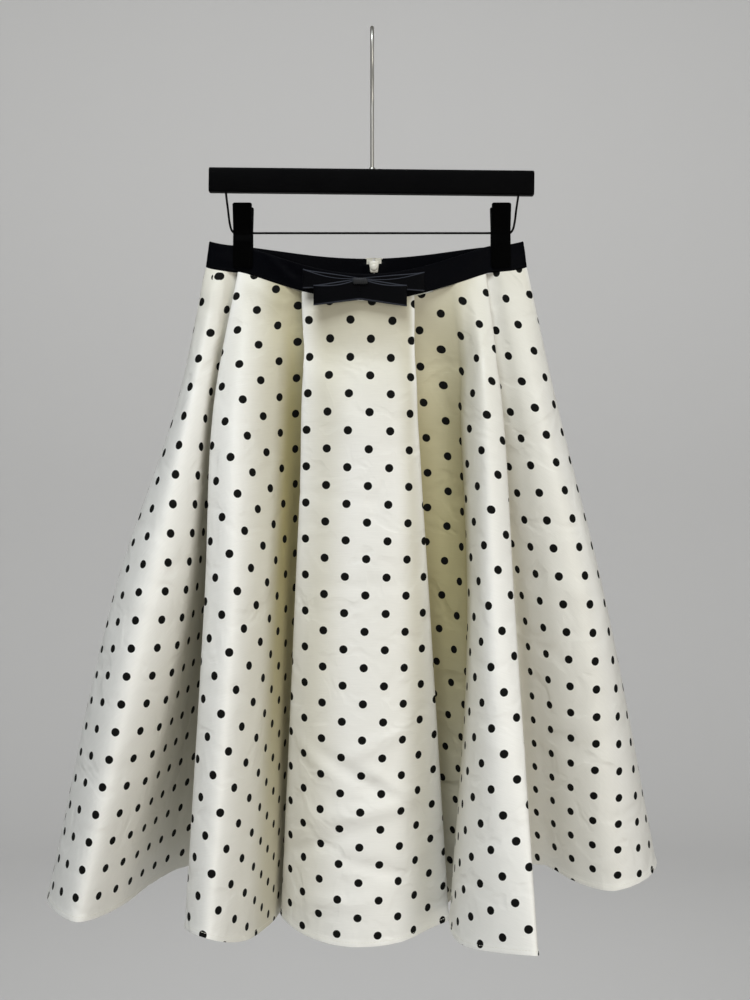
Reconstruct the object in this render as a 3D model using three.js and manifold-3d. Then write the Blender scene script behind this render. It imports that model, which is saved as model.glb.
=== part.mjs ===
// A flared, pleated satin skirt with a bow on its waistband, hanging from a two-clip hanger.
//
// Millimetres, +Z up. The front of the skirt faces -Y and +X is the viewer's right. The origin is
// the inner top of the hanger's hook, the point that a rail carries.
//
// The cloth is a thin wall worked out from two short tables, one row for each fold. A row gives the
// fold's place in plan at four levels of the cloth. A smooth closed curve runs through the rows at
// each level, and the cloth's own length along each fold sets how far down that level hangs.
import * as THREE from 'three';
import Module from 'manifold-3d';
import { mergeVertices } from 'three/addons/utils/BufferGeometryUtils.js';

const wasm = await Module();
wasm.setup();

// ---------------------------------------------------------------- driving dimensions

const SEAM_GAP = 0.3;
const HALF_GAP = SEAM_GAP / 2;

// The hanger.
const HOOK_WIRE = 2;
const HOOK_RADIUS = 22;
const BAR = { left: -169.5, right: 168.5, height: 25.5, depth: 12, top: -144.5, tilt: 0.6 };
const WIRE_RADIUS = 1.15;
const RAIL_Z = -210.5;
const RAIL_HALF = 143;
const LEG_TOP = 152;
const CLIP_X = [-134, 133.5];
const CLIP_WIDTH = 20;
const CLIP_TOP = -181;
const CLIP_BOTTOM = -247;
const CLIP_SPREAD = 12.5;
const CLIP_THICK = 1.8;

// The waist, flattened by the clips: its middle, half its width, and how far it stands open.
const WAIST_X = -6;
const WAIST_HALF = 167;
const WAIST_DEPTH = 5;
const FRONT_BULGE = 25;
const BACK_BULGE = 15;
const BULGE_HALF = 122;
const END_ROUNDNESS = 10;

// The waistband's lower edge hangs in a shallow sag between the clips.
const CLIP_HALF = 134;
const SAG_SOFTNESS = 1.4;
const SEAM_Z = -251;
const END_RISE = 5;
const FRONT_SAG = 33;
const BACK_SAG = 10;
const BAND_HEIGHT = 27;
const BAND_THICK = 2;
const BAND_TAPER = 0.978;

// The skirt's cloth.
const CLOTH_THICK = 1;
const PLEAT_STEP = 3;
const LEVELS = [0, 0.2, 0.5, 1];
const ROWS_DOWN = 14;
const COLUMNS_PER_FOLD = 2;

// The zip at the centre back.
const ZIP_X = 2;
const ZIP_GAP = 2.4;
const ZIP_TAPE = 6.5;
const ZIP_TAPE_THICK = 1;
const ZIP_LENGTH = 0.27;
const SLIDER = { width: 6.4, height: 12, thick: 3, z: -243.5 };
const PULL = { reach: 5, length: 16, width: 6.5, thick: 1.2 };

// The bow: a pair of rear loops, a pair of front loops below them and a narrow knot.
const BOW_X = -12;
const RIBBON_THICK = 0.9;
const KNOT = { width: 15, top: -263, bottom: -269.5, depth: 2.5 };

// ---------------------------------------------------------------- fold tables

// Front folds from the left side to the right. layer counts the pleat's layers from the outside at
// the waist. x is the place at the waist, hip, thigh and hem, y is the depth at hip, thigh and hem,
// and length is the cloth from the waistband to the hem.
const FRONT_FOLDS = [
  { fold: 'left side', layer: 0, x: [-173, -200, -265, -334.5], y: [-5, -10, -14], length: 676 },
  { fold: 'tube 1 crest', layer: 0, x: [-163, -184, -225, -294], y: [-30, -60, -68], length: 677 },
  { fold: 'tube 1 shoulder', layer: 0, x: [-153, -171, -192, -267], y: [-24, -34, -26], length: 671 },
  { fold: 'valley 1 outer', layer: 2, x: [-142, -163, -180, -241], y: [-8, 5, 48], length: 662 },
  { fold: 'valley 1 floor', layer: 2, x: [-128, -152, -172, -218], y: [4, 35, 102], length: 659 },
  { fold: 'valley 1 root', layer: 2, x: [-112, -140, -160, -192], y: [12, 62, 136], length: 660 },
  { fold: 'valley 1 turn', layer: 1, x: [-112, -137, -154, -178], y: [8, 60, 128], length: 662 },
  { fold: 'tube 2 inner flank', layer: 1, x: [-126, -148, -161, -171], y: [-5, 10, 50], length: 667 },
  { fold: 'pleat 1 under', layer: 1, x: [-138.7, -160, -166, -183.5], y: [-18, -34, -28], length: 671 },
  { fold: 'pleat 1 edge', layer: 0, x: [-139, -161, -169, -187.5], y: [-24, -44, -56], length: 671 },
  { fold: 'tube 2 crest', layer: 0, x: [-122, -137, -141, -162], y: [-38, -66, -86], length: 671 },
  { fold: 'tube 2 shoulder', layer: 0, x: [-92, -102, -112, -132], y: [-18, -40, -46], length: 669 },
  { fold: 'valley 2 outer', layer: 2, x: [-76, -84, -96, -112], y: [2, 0, 24], length: 669 },
  { fold: 'valley 2 root', layer: 2, x: [-45, -64, -80, -95], y: [14, 40, 98], length: 671 },
  { fold: 'valley 2 turn', layer: 1, x: [-45, -60, -75, -87], y: [10, 36, 95], length: 671 },
  { fold: 'pleat 2 under', layer: 1, x: [-71.7, -71, -79, -94], y: [-17, 9, 76], length: 671 },
  { fold: 'pleat 2 edge', layer: 0, x: [-72, -72, -81, -99], y: [-22, 2, 66], length: 671 },
  { fold: 'centre left', layer: 0, x: [-48, -48, -57, -73], y: [-28, -15, 28], length: 671 },
  { fold: 'centre crest', layer: 0, x: [-14, -16, -20, -27], y: [-32, -20, 5], length: 671 },
  { fold: 'centre right', layer: 0, x: [20, 22, 25, 26], y: [-30, -16, 12], length: 671 },
  { fold: 'centre shoulder', layer: 0, x: [36, 39, 47, 60], y: [-25, -6, 42], length: 671 },
  { fold: 'pleat 3 edge', layer: 0, x: [43, 48, 61, 83], y: [-18, 7, 64], length: 671 },
  { fold: 'pleat 3 under', layer: 1, x: [42.7, 47, 58, 79], y: [-13, 14, 76], length: 671 },
  { fold: 'valley 3 turn', layer: 1, x: [14, 32, 53, 70], y: [-2, 31, 102], length: 671 },
  { fold: 'valley 3 root', layer: 2, x: [14, 35, 58, 77], y: [3, 37, 108], length: 671 },
  { fold: 'valley 3 floor', layer: 2, x: [62, 75, 80, 87], y: [14, 26, 98], length: 669 },
  { fold: 'valley 3 corner', layer: 1, x: [80, 90, 99, 94], y: [-2, 4, 80], length: 669 },
  { fold: 'tube 4 edge', layer: 0, x: [88, 92, 98, 83], y: [-12, -19, 40], length: 671 },
  { fold: 'tube 4 flank', layer: 0, x: [95, 98, 103.5, 90], y: [-25, -43, -45], length: 677 },
  { fold: 'tube 4 crest', layer: 0, x: [104, 114, 119, 131], y: [-42, -65, -88], length: 682 },
  { fold: 'pleat 4 edge', layer: 0, x: [118, 132, 143, 161], y: [-33, -53, -100], length: 687 },
  { fold: 'pleat 4 under', layer: 1, x: [117.7, 131, 141, 160], y: [-27, -42, -78], length: 685 },
  { fold: 'tube 4 inner flank', layer: 1, x: [108, 123, 138, 159], y: [-6, 5, 30], length: 670 },
  { fold: 'valley 4 turn', layer: 1, x: [100, 119, 144, 160], y: [6, 42, 132], length: 664 },
  { fold: 'valley 4 root', layer: 2, x: [100, 124, 151, 173], y: [9, 46, 140], length: 664 },
  { fold: 'valley 4 floor', layer: 2, x: [119, 140, 164, 193], y: [-2, 24, 116], length: 662 },
  { fold: 'tube 5 flank', layer: 0, x: [134, 156, 188, 222], y: [-14, -2, 71], length: 667 },
  { fold: 'tube 5 crest', layer: 0, x: [148, 171, 213, 257], y: [-16, -8, 42], length: 670 },
  { fold: 'tube 5 shoulder', layer: 0, x: [157, 183, 231, 290], y: [-7, 2, 54], length: 669 },
  { fold: 'right side', layer: 0, x: [161, 191, 242, 314], y: [9, 30, 98], length: 670 },
];

// Back folds from the right side to the left. waist is the place at the waistband, and hem the
// place in plan at the hem. The levels between them follow BACK_SPREAD and BACK_DEPTH.
const BACK_FOLDS = [
  { fold: 'right back side', layer: 0, waist: 152, hem: [309, 148] },
  { fold: 'tube 6 crest', layer: 0, waist: 128, hem: [281, 170] },
  { fold: 'valley 5 floor', layer: 1.5, waist: 94, hem: [260, 136] },
  { fold: 'valley 5 root', layer: 2, waist: 62, hem: [241, 150] },
  { fold: 'valley 5 turn', layer: 1, waist: 62, hem: [235, 160] },
  { fold: 'pleat 5 under', layer: 1, waist: 87.7, hem: [230, 172] },
  { fold: 'pleat 5 edge', layer: 0, waist: 88, hem: [226, 181] },
  { fold: 'tube 7 crest', layer: 0, waist: 74, hem: [192, 194] },
  { fold: 'tube 7 shoulder', layer: 0, waist: 60, hem: [158, 179] },
  { fold: 'valley 6 floor', layer: 1.6, waist: 49, hem: [132, 122] },
  { fold: 'valley 6 root', layer: 2, waist: 22, hem: [122, 96] },
  { fold: 'valley 6 turn', layer: 1, waist: 22, hem: [112, 98] },
  { fold: 'pleat 6 under', layer: 1, waist: 45.7, hem: [102, 128] },
  { fold: 'pleat 6 edge', layer: 0, waist: 46, hem: [97, 146] },
  { fold: 'tube 8 crest', layer: 0, waist: 34, hem: [62, 174] },
  { fold: 'centre back right', layer: 0, waist: 20, hem: [29, 150] },
  { fold: 'centre back', layer: 0, waist: 2, hem: [2, 132] },
  { fold: 'centre back left', layer: 0, waist: -16, hem: [-26, 150] },
  { fold: 'tube 9 crest', layer: 0, waist: -34, hem: [-62, 176] },
  { fold: 'pleat 7 edge', layer: 0, waist: -52, hem: [-98, 147] },
  { fold: 'pleat 7 under', layer: 1, waist: -51.7, hem: [-104, 136] },
  { fold: 'valley 7 turn', layer: 1, waist: -26, hem: [-117, 104] },
  { fold: 'valley 7 root', layer: 2, waist: -26, hem: [-127, 102] },
  { fold: 'valley 7 floor', layer: 1.6, waist: -55, hem: [-140, 124] },
  { fold: 'tube 10 shoulder', layer: 0, waist: -70, hem: [-164, 177] },
  { fold: 'tube 10 crest', layer: 0, waist: -84, hem: [-205, 196] },
  { fold: 'pleat 8 edge', layer: 0, waist: -98, hem: [-246, 182] },
  { fold: 'pleat 8 under', layer: 1, waist: -97.7, hem: [-252, 172] },
  { fold: 'valley 8 turn', layer: 1, waist: -72, hem: [-261, 156] },
  { fold: 'valley 8 root', layer: 2, waist: -72, hem: [-270, 146] },
  { fold: 'valley 8 floor', layer: 1.5, waist: -106, hem: [-290, 128] },
  { fold: 'tube 11 crest', layer: 0, waist: -132, hem: [-318, 104] },
  { fold: 'left back side', layer: 0, waist: -160, hem: [-338, 42] },
];
const BACK_SPREAD = [0, 0.2, 0.52, 1];
const BACK_DEPTH = [0, 0.16, 0.5, 1];
const BACK_LENGTH = 671;

// ---------------------------------------------------------------- the waist

// How far the waist stands off its flat middle plane at x: a soft bulge between the clips, and
// round ends at the side folds.
function waistDepth(x, bulge) {
  const between = Math.max(0, 1 - ((x - WAIST_X) / BULGE_HALF) ** 2);
  const end = Math.min(1, Math.abs(x - WAIST_X) / WAIST_HALF);
  const roundEnd = Math.sqrt(1 - end ** END_ROUNDNESS);
  return (WAIST_DEPTH + bulge * between ** 1.5) * roundEnd;
}

// The height of the seam between waistband and skirt at x.
function seamHeight(x, sag) {
  const span = Math.abs(x - WAIST_X) / CLIP_HALF;
  const beyond = Math.max(0, span - 1) / (WAIST_HALF / CLIP_HALF - 1);
  const slack = Math.max(0, 1 - span ** 2) ** SAG_SOFTNESS;
  return SEAM_Z - sag * slack + END_RISE * Math.min(1, beyond) ** 2;
}

// ---------------------------------------------------------------- the fold surface

// A value given at LEVELS, carried smoothly to any share t of the cloth's length.
function atLevel(values, t) {
  const last = LEVELS.length - 1;
  const slope = (i) => (values[i + 1] - values[i]) / (LEVELS[i + 1] - LEVELS[i]);
  const tangent = (i) => {
    if (i === 0) return slope(0);
    if (i === last) return slope(last - 1);
    const before = LEVELS[i] - LEVELS[i - 1];
    const after = LEVELS[i + 1] - LEVELS[i];
    return (slope(i - 1) * after + slope(i) * before) / (before + after);
  };
  const found = LEVELS.findIndex((level) => t <= level);
  const i = Math.max(1, found) - 1;
  const step = LEVELS[i + 1] - LEVELS[i];
  const s = (t - LEVELS[i]) / step;
  const ease = s * s * (3 - 2 * s);
  const leave = s * (1 - s) ** 2 * step;
  const arrive = s * s * (s - 1) * step;
  return values[i] * (1 - ease) + values[i + 1] * ease + tangent(i) * leave + tangent(i + 1) * arrive;
}

function frontRow(row) {
  const waistY = -waistDepth(row.x[0], FRONT_BULGE) + row.layer * PLEAT_STEP;
  return { x: row.x, y: [waistY, ...row.y], length: row.length, sag: FRONT_SAG };
}

function backRow(row) {
  const waistY = waistDepth(row.waist, BACK_BULGE) - row.layer * PLEAT_STEP;
  const x = BACK_SPREAD.map((share) => row.waist + (row.hem[0] - row.waist) * share);
  const y = BACK_DEPTH.map((share) => waistY + (row.hem[1] - waistY) * share);
  return { x, y, length: BACK_LENGTH, sag: BACK_SAG };
}

const ROWS = [...FRONT_FOLDS.map(frontRow), ...BACK_FOLDS.map(backRow)];
const RIGHT_SEAM = FRONT_FOLDS.length - 1;
const CENTRE_BACK = FRONT_FOLDS.length + BACK_FOLDS.findIndex((row) => row.fold === 'centre back');

// The closed plan curve of the cloth at share t of its length.
function ringCurve(t) {
  const points = ROWS.map((row) => new THREE.Vector3(atLevel(row.x, t), atLevel(row.y, t), 0));
  return new THREE.CatmullRomCurve3(points, true, 'centripetal');
}

// One stretch of the ring from fold to fold: its outer points and the unit normals that face out,
// as rows down the cloth. The two cut ends are moved in by half a seam gap.
function clothStretch(firstFold, lastFold, shares) {
  const count = (lastFold - firstFold) * COLUMNS_PER_FOLD;
  const outer = [];
  const normals = [];
  for (const t of shares) {
    const ring = ringCurve(t);
    const rowPoints = [];
    const rowNormals = [];
    for (let c = 0; c <= count; c += 1) {
      const place = ((firstFold + c / COLUMNS_PER_FOLD) / ROWS.length) % 1;
      const point = ring.getPoint(place);
      const tangent = ring.getTangent(place);
      if (c === 0) point.addScaledVector(tangent, HALF_GAP);
      if (c === count) point.addScaledVector(tangent, -HALF_GAP);
      rowPoints.push(point);
      rowNormals.push(new THREE.Vector3(tangent.y, -tangent.x, 0).normalize());
    }
    outer.push(rowPoints);
    normals.push(rowNormals);
  }
  hangDown(outer, firstFold, shares);
  return { outer, normals };
}

// Heights from the cloth's own length: what a point moves in plan from one level to the next is
// taken from the length between them, and the rest is the drop.
function hangDown(outer, firstFold, shares) {
  for (let c = 0; c < outer[0].length; c += 1) {
    const fold = firstFold + c / COLUMNS_PER_FOLD;
    const here = ROWS[Math.floor(fold) % ROWS.length];
    const next = ROWS[Math.ceil(fold) % ROWS.length];
    const length = THREE.MathUtils.lerp(here.length, next.length, fold % 1);
    outer[0][c].z = seamHeight(outer[0][c].x, here.sag) - SEAM_GAP - HALF_GAP;
    for (let r = 1; r < outer.length; r += 1) {
      const above = outer[r - 1][c];
      const point = outer[r][c];
      const along = length * (shares[r] - shares[r - 1]);
      const aside = Math.hypot(point.x - above.x, point.y - above.y);
      point.z = above.z - Math.sqrt(Math.max(along ** 2 - aside ** 2, 1));
    }
  }
}

// ---------------------------------------------------------------- solids

// The same grid of points, moved along its normals.
function movedGrid(points, normals, distance) {
  const moved = (point, normal) => point.clone().addScaledVector(normal, distance);
  return points.map((row, r) => row.map((point, c) => moved(point, normals[r][c])));
}

// A closed wall between an outer and an inner grid of the same size. Rows run down the outer face
// and columns run to its right, seen from outside.
function wallGeometry(outer, inner) {
  const rows = outer.length;
  const columns = outer[0].length;
  const positions = [...outer.flat(), ...inner.flat()].flatMap((point) => point.toArray());
  const outside = (r, c) => r * columns + c;
  const inside = (r, c) => rows * columns + r * columns + c;
  const index = [];
  const quad = (a, b, c, d) => index.push(a, b, c, a, c, d);
  for (let r = 0; r < rows - 1; r += 1) {
    for (let c = 0; c < columns - 1; c += 1) {
      quad(outside(r, c), outside(r + 1, c), outside(r + 1, c + 1), outside(r, c + 1));
      quad(inside(r, c), inside(r, c + 1), inside(r + 1, c + 1), inside(r + 1, c));
    }
    quad(outside(r, 0), inside(r, 0), inside(r + 1, 0), outside(r + 1, 0));
    const end = columns - 1;
    quad(outside(r, end), outside(r + 1, end), inside(r + 1, end), inside(r, end));
  }
  for (let c = 0; c < columns - 1; c += 1) {
    const end = rows - 1;
    quad(outside(0, c), outside(0, c + 1), inside(0, c + 1), inside(0, c));
    quad(outside(end, c), inside(end, c), inside(end, c + 1), outside(end, c + 1));
  }
  const geometry = new THREE.BufferGeometry();
  geometry.setAttribute('position', new THREE.Float32BufferAttribute(positions, 3));
  geometry.setIndex(index);
  geometry.computeVertexNormals();
  return geometry;
}

// A box given by its lowest and highest corner.
function boxGeometry(low, high) {
  const size = high.map((value, i) => value - low[i]);
  const centre = high.map((value, i) => (value + low[i]) / 2);
  return new THREE.BoxGeometry(...size).translate(...centre);
}

// A straight extrusion along X of an outline drawn in the YZ plane, centred on x.
function extrudedAlongX(outline, x, width) {
  const shape = new THREE.Shape(outline.map(([y, z]) => new THREE.Vector2(y, z)));
  const options = { depth: width, bevelEnabled: false, curveSegments: 8 };
  const geometry = new THREE.ExtrudeGeometry(shape, options);
  const turn = new THREE.Matrix4().makeBasis(
    new THREE.Vector3(0, 1, 0),
    new THREE.Vector3(0, 0, 1),
    new THREE.Vector3(1, 0, 0),
  );
  return geometry.applyMatrix4(turn).translate(x - width / 2, 0, 0);
}

// A round rod along a smooth curve.
function rodGeometry(points, radius, sides, steps) {
  const section = new THREE.Shape();
  section.absarc(0, 0, radius, 0, 2 * Math.PI);
  const extrudePath = new THREE.CatmullRomCurve3(points, false, 'centripetal');
  return new THREE.ExtrudeGeometry(section, { extrudePath, steps, curveSegments: sides });
}

function toManifold(geometry) {
  const bare = new THREE.BufferGeometry();
  bare.setAttribute('position', geometry.getAttribute('position').clone());
  if (geometry.index) bare.setIndex(geometry.index.clone());
  const merged = mergeVertices(bare, 1e-4);
  return new wasm.Manifold(new wasm.Mesh({
    numProp: 3,
    vertProperties: merged.getAttribute('position').array,
    triVerts: new Uint32Array(merged.index.array),
  }));
}

// One closed body from several overlapping ones.
function joined(geometries) {
  const whole = geometries.map(toManifold).reduce((sum, solid) => sum.add(solid));
  const mesh = whole.getMesh();
  const geometry = new THREE.BufferGeometry();
  geometry.setAttribute('position', new THREE.Float32BufferAttribute(mesh.vertProperties, 3));
  geometry.setIndex(new THREE.Uint32BufferAttribute(mesh.triVerts, 1));
  geometry.computeVertexNormals();
  return geometry;
}

// ---------------------------------------------------------------- materials and naming

const materials = {
  satin: { color: 0xe9e6dc, roughness: 0.45, metalness: 0 },
  band: { color: 0x0c0c10, roughness: 0.4, metalness: 0 },
  ribbon: { color: 0x101016, roughness: 0.35, metalness: 0 },
  tape: { color: 0xded9c8, roughness: 0.8, metalness: 0 },
  zipMoulding: { color: 0xe6e2d4, roughness: 0.35, metalness: 0 },
  hangerBlack: { color: 0x0b0b0d, roughness: 0.55, metalness: 0 },
  clipBlack: { color: 0x08080a, roughness: 0.35, metalness: 0.1 },
  steel: { color: 0xb9b8b0, roughness: 0.3, metalness: 0.9 },
};

const part = new THREE.Group();

function addPiece(name, geometry, finish, parent = part) {
  const mesh = new THREE.Mesh(geometry, new THREE.MeshStandardMaterial(materials[finish]));
  mesh.name = name;
  parent.add(mesh);
  return mesh;
}

// ---------------------------------------------------------------- the skirt's panels

function addSkirt() {
  const shares = Array.from({ length: ROWS_DOWN + 1 }, (_, r) => r / ROWS_DOWN);
  const panels = [
    { name: 'skirt_front', from: 0, to: RIGHT_SEAM },
    { name: 'skirt_back_right', from: RIGHT_SEAM, to: CENTRE_BACK },
    { name: 'skirt_back_left', from: CENTRE_BACK, to: ROWS.length },
  ];
  for (const { name, from, to } of panels) {
    const { outer, normals } = clothStretch(from, to, shares);
    const inner = movedGrid(outer, normals, -CLOTH_THICK);
    addPiece(name, wallGeometry(outer, inner), 'satin');
  }
}

// ---------------------------------------------------------------- the waistband

// A point of the waistband's outer face: angle runs from 0 at the left end to pi at the right, up
// from 0 at the seam to 1 at the top edge, and side is -1 at the front and 1 at the back.
function bandPoint(angle, up, side) {
  const bulge = side < 0 ? FRONT_BULGE : BACK_BULGE;
  const sag = side < 0 ? FRONT_SAG : BACK_SAG;
  const x = WAIST_X - WAIST_HALF * Math.cos(angle);
  const narrow = THREE.MathUtils.lerp(1, BAND_TAPER, up);
  return new THREE.Vector3(
    WAIST_X + (x - WAIST_X) * narrow,
    side * waistDepth(x, bulge) * narrow,
    seamHeight(x, sag) + BAND_HEIGHT * up,
  );
}

// A stretch of the band as a wall. Near the flattened ends its inner face stops half a gap short
// of the middle plane, where the front and back lie against each other.
function bandGeometry(from, to, side, columns) {
  const outer = [];
  const inner = [];
  const turn = Math.sign(to - from);
  const nudge = 1e-3;
  for (const up of [1, 0.5, 0]) {
    const outerRow = [];
    const innerRow = [];
    for (let c = 0; c <= columns; c += 1) {
      const angle = THREE.MathUtils.lerp(from, to, c / columns);
      const behind = bandPoint(Math.max(nudge, angle) - nudge, up, side);
      const ahead = bandPoint(Math.min(angle + nudge, Math.PI), up, side);
      const tangent = ahead.sub(behind).multiplyScalar(turn);
      const outward = new THREE.Vector3(tangent.y, -tangent.x, 0).normalize();
      const point = bandPoint(angle, up, side);
      const within = point.clone().addScaledVector(outward, -BAND_THICK);
      for (const place of [point, within]) {
        place.y = side * Math.max(side * place.y, HALF_GAP);
      }
      outerRow.push(point);
      innerRow.push(within);
    }
    outer.push(outerRow);
    inner.push(innerRow);
  }
  return wallGeometry(outer, inner);
}

function addWaistband() {
  const zipAngle = Math.acos((WAIST_X - ZIP_X) / WAIST_HALF);
  const zipHalf = ZIP_GAP / 2 / WAIST_HALF;
  const stretches = [
    { name: 'waistband_front', from: 0, to: Math.PI, side: -1, columns: 44 },
    { name: 'waistband_back_right', from: Math.PI, to: zipAngle + zipHalf, side: 1, columns: 22 },
    { name: 'waistband_back_left', from: zipAngle - zipHalf, to: 0, side: 1, columns: 22 },
  ];
  for (const { name, from, to, side, columns } of stretches) {
    addPiece(name, bandGeometry(from, to, side, columns), 'band');
  }
}

// ---------------------------------------------------------------- the zip

// The centre-back line down the inside, from the waistband's top to the zip's foot: outer-face
// points, so that what lies inside is worked out from them.
function zipLine() {
  const angle = Math.acos((WAIST_X - ZIP_X) / WAIST_HALF);
  const band = [1, 0.5, 0].map((up) => bandPoint(angle, up, 1));
  const shares = Array.from({ length: 7 }, (_, r) => (r / 6) * ZIP_LENGTH);
  const { outer } = clothStretch(CENTRE_BACK, CENTRE_BACK + 1, shares);
  const skirt = outer.slice(1).map((row) => row[0]);
  return [...band, ...skirt];
}

// A flat strip lying along the zip line, between two distances from the centre and two depths
// inside the cloth's outer face.
function zipStrip(line, left, right, shallow, deep) {
  const at = (point, x, depth) => new THREE.Vector3(ZIP_X + x, point.y - depth, point.z);
  const outer = line.map((point) => [at(point, right, shallow), at(point, left, shallow)]);
  const inner = line.map((point) => [at(point, right, deep), at(point, left, deep)]);
  return wallGeometry(outer, inner);
}

function addZip() {
  const line = zipLine();
  const tapeFace = BAND_THICK + 2 * SEAM_GAP;
  const tapeBack = tapeFace + ZIP_TAPE_THICK;
  const edge = ZIP_GAP / 2;
  addPiece('zip_tape_left', zipStrip(line, -edge - ZIP_TAPE, -edge, tapeFace, tapeBack), 'tape');
  addPiece('zip_tape_right', zipStrip(line, edge, edge + ZIP_TAPE, tapeFace, tapeBack), 'tape');

  const sliderFoot = SLIDER.z - SLIDER.height / 2;
  const below = line.filter((point) => point.z < sliderFoot - SEAM_GAP);
  const seam = bandPoint(Math.acos((WAIST_X - ZIP_X) / WAIST_HALF), 0.25, 1);
  const chainTop = new THREE.Vector3(ZIP_X, seam.y, sliderFoot - SEAM_GAP);
  const chainLine = [chainTop, ...below];
  const chainDepth = tapeBack + SEAM_GAP;
  addPiece('zip_chain', zipStrip(chainLine, -2, 2, chainDepth, chainDepth + 1.3), 'tape');

  const face = seam.y;
  const bodyFront = face - chainDepth;
  const plateFront = face + SEAM_GAP + 0.2;
  const plateBack = plateFront + 1;
  const half = SLIDER.width / 2;
  const low = SLIDER.z - SLIDER.height / 2;
  const high = SLIDER.z + SLIDER.height / 2;
  const x = ZIP_X;
  const slider = joined([
    boxGeometry([x - half, bodyFront - SLIDER.thick, low], [x + half, bodyFront, high]),
    boxGeometry([x - 0.6, bodyFront - 0.5, SLIDER.z - 3], [x + 0.6, plateFront + 0.5, SLIDER.z + 3]),
    boxGeometry([x - 2.5, plateFront, SLIDER.z - 5], [x + 2.5, plateBack, SLIDER.z + 5]),
    boxGeometry([x - 0.8, plateBack - 0.5, SLIDER.z - 3.2], [x + 0.8, plateBack + 3.2, SLIDER.z - 1.9]),
    boxGeometry([x - 0.8, plateBack - 0.5, SLIDER.z + 1.9], [x + 0.8, plateBack + 3.2, SLIDER.z + 3.2]),
    boxGeometry([x - 0.8, plateBack + 2.2, SLIDER.z - 3.2], [x + 0.8, plateBack + 3.2, SLIDER.z + 3.2]),
  ]);
  addPiece('zip_slider', slider, 'zipMoulding');

  const axisY = plateBack + 1.1;
  const t = PULL.thick / 2;
  const armOuter = 2.9;
  const armInner = 1.5;
  const plateTop = SLIDER.z - PULL.reach;
  const pull = joined([
    boxGeometry([x - armOuter, axisY - t, SLIDER.z - t], [x + armOuter, axisY + t, SLIDER.z + t]),
    boxGeometry([x - armOuter, axisY - t, plateTop - 1], [x - armInner, axisY + t, SLIDER.z + t]),
    boxGeometry([x + armInner, axisY - t, plateTop - 1], [x + armOuter, axisY + t, SLIDER.z + t]),
    pullPlate(x, axisY, plateTop),
  ]);
  addPiece('zip_pull', pull, 'zipMoulding');
}

// The pull's drop-shaped plate, widest near its foot.
function pullPlate(x, y, top) {
  const radius = PULL.width / 2;
  const footZ = top - PULL.length + radius;
  const drop = new THREE.Shape();
  drop.moveTo(x - 2.9, top);
  drop.lineTo(x - radius, footZ);
  drop.absarc(x, footZ, radius, Math.PI, 2 * Math.PI);
  drop.lineTo(x + 2.9, top);
  drop.closePath();
  const options = { depth: PULL.thick, bevelEnabled: false, curveSegments: 8 };
  const geometry = new THREE.ExtrudeGeometry(drop, options);
  return geometry.rotateX(Math.PI / 2).translate(0, y + PULL.thick / 2, 0);
}

// ---------------------------------------------------------------- the bow

// Each loop is a ribbon that runs out beside the band, turns at its tip and comes back in front.
// runs are the depths of its two runs off the band's face at the bow's centre.
const BOW_LOOPS = [
  { loop: 'rear_loop_left', side: -1, reach: 58, tip: [-253, -272], root: [-262, -270], runs: [0.5, 3.6] },
  { loop: 'rear_loop_right', side: 1, reach: 65, tip: [-256, -275], root: [-262, -270], runs: [0.5, 3.6] },
  { loop: 'front_loop_left', side: -1, reach: 47, tip: [-270, -290], root: [-263, -284], runs: [5, 9] },
  { loop: 'front_loop_right', side: 1, reach: 47, tip: [-270, -291], root: [-263, -284], runs: [5, 9] },
];
const LOOP_STEPS = 14;
const LOOP_SQUARENESS = 0.55;

function bowFace() {
  return -waistDepth(BOW_X, FRONT_BULGE);
}

function loopRows(loop) {
  const plan = [];
  for (let i = 0; i <= LOOP_STEPS; i += 1) {
    const angle = (Math.PI * i) / LOOP_STEPS;
    const out = Math.sin(angle) ** LOOP_SQUARENESS;
    const forward = (1 - Math.cos(angle)) / 2;
    plan.push({
      share: out,
      x: BOW_X + loop.side * (0.2 + (loop.reach - 0.2) * out),
      y: bowFace() - THREE.MathUtils.lerp(...loop.runs, forward) - RIBBON_THICK / 2,
    });
  }
  const ordered = loop.side < 0 ? plan.reverse() : plan;
  const edge = (which) => ordered.map(({ share, x, y }) => {
    const z = THREE.MathUtils.lerp(loop.root[which], loop.tip[which], share);
    return new THREE.Vector3(x, y, z);
  });
  return [edge(0), edge(1)];
}

function addBow() {
  for (const loop of BOW_LOOPS) {
    const middle = loopRows(loop);
    const normals = middle.map((row) => row.map((_, c) => {
      const ahead = row[Math.min(c + 1, row.length - 1)];
      const behind = row[Math.max(c - 1, 0)];
      return new THREE.Vector3(ahead.y - behind.y, behind.x - ahead.x, 0).normalize();
    }));
    const half = RIBBON_THICK / 2;
    const geometry = wallGeometry(movedGrid(middle, normals, half), movedGrid(middle, normals, -half));
    addPiece(`bow_${loop.loop}`, geometry, 'ribbon');
  }
  const front = bowFace() - BOW_LOOPS[2].runs[1] - RIBBON_THICK - SEAM_GAP;
  const outline = [
    [front, KNOT.top],
    [front - KNOT.depth * 0.7, KNOT.top - 0.6],
    [front - KNOT.depth, (KNOT.top + KNOT.bottom) / 2],
    [front - KNOT.depth * 0.7, KNOT.bottom + 0.6],
    [front, KNOT.bottom],
  ];
  addPiece('bow_knot', extrudedAlongX(outline, BOW_X, KNOT.width), 'ribbon');
}

// ---------------------------------------------------------------- the hanger

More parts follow.
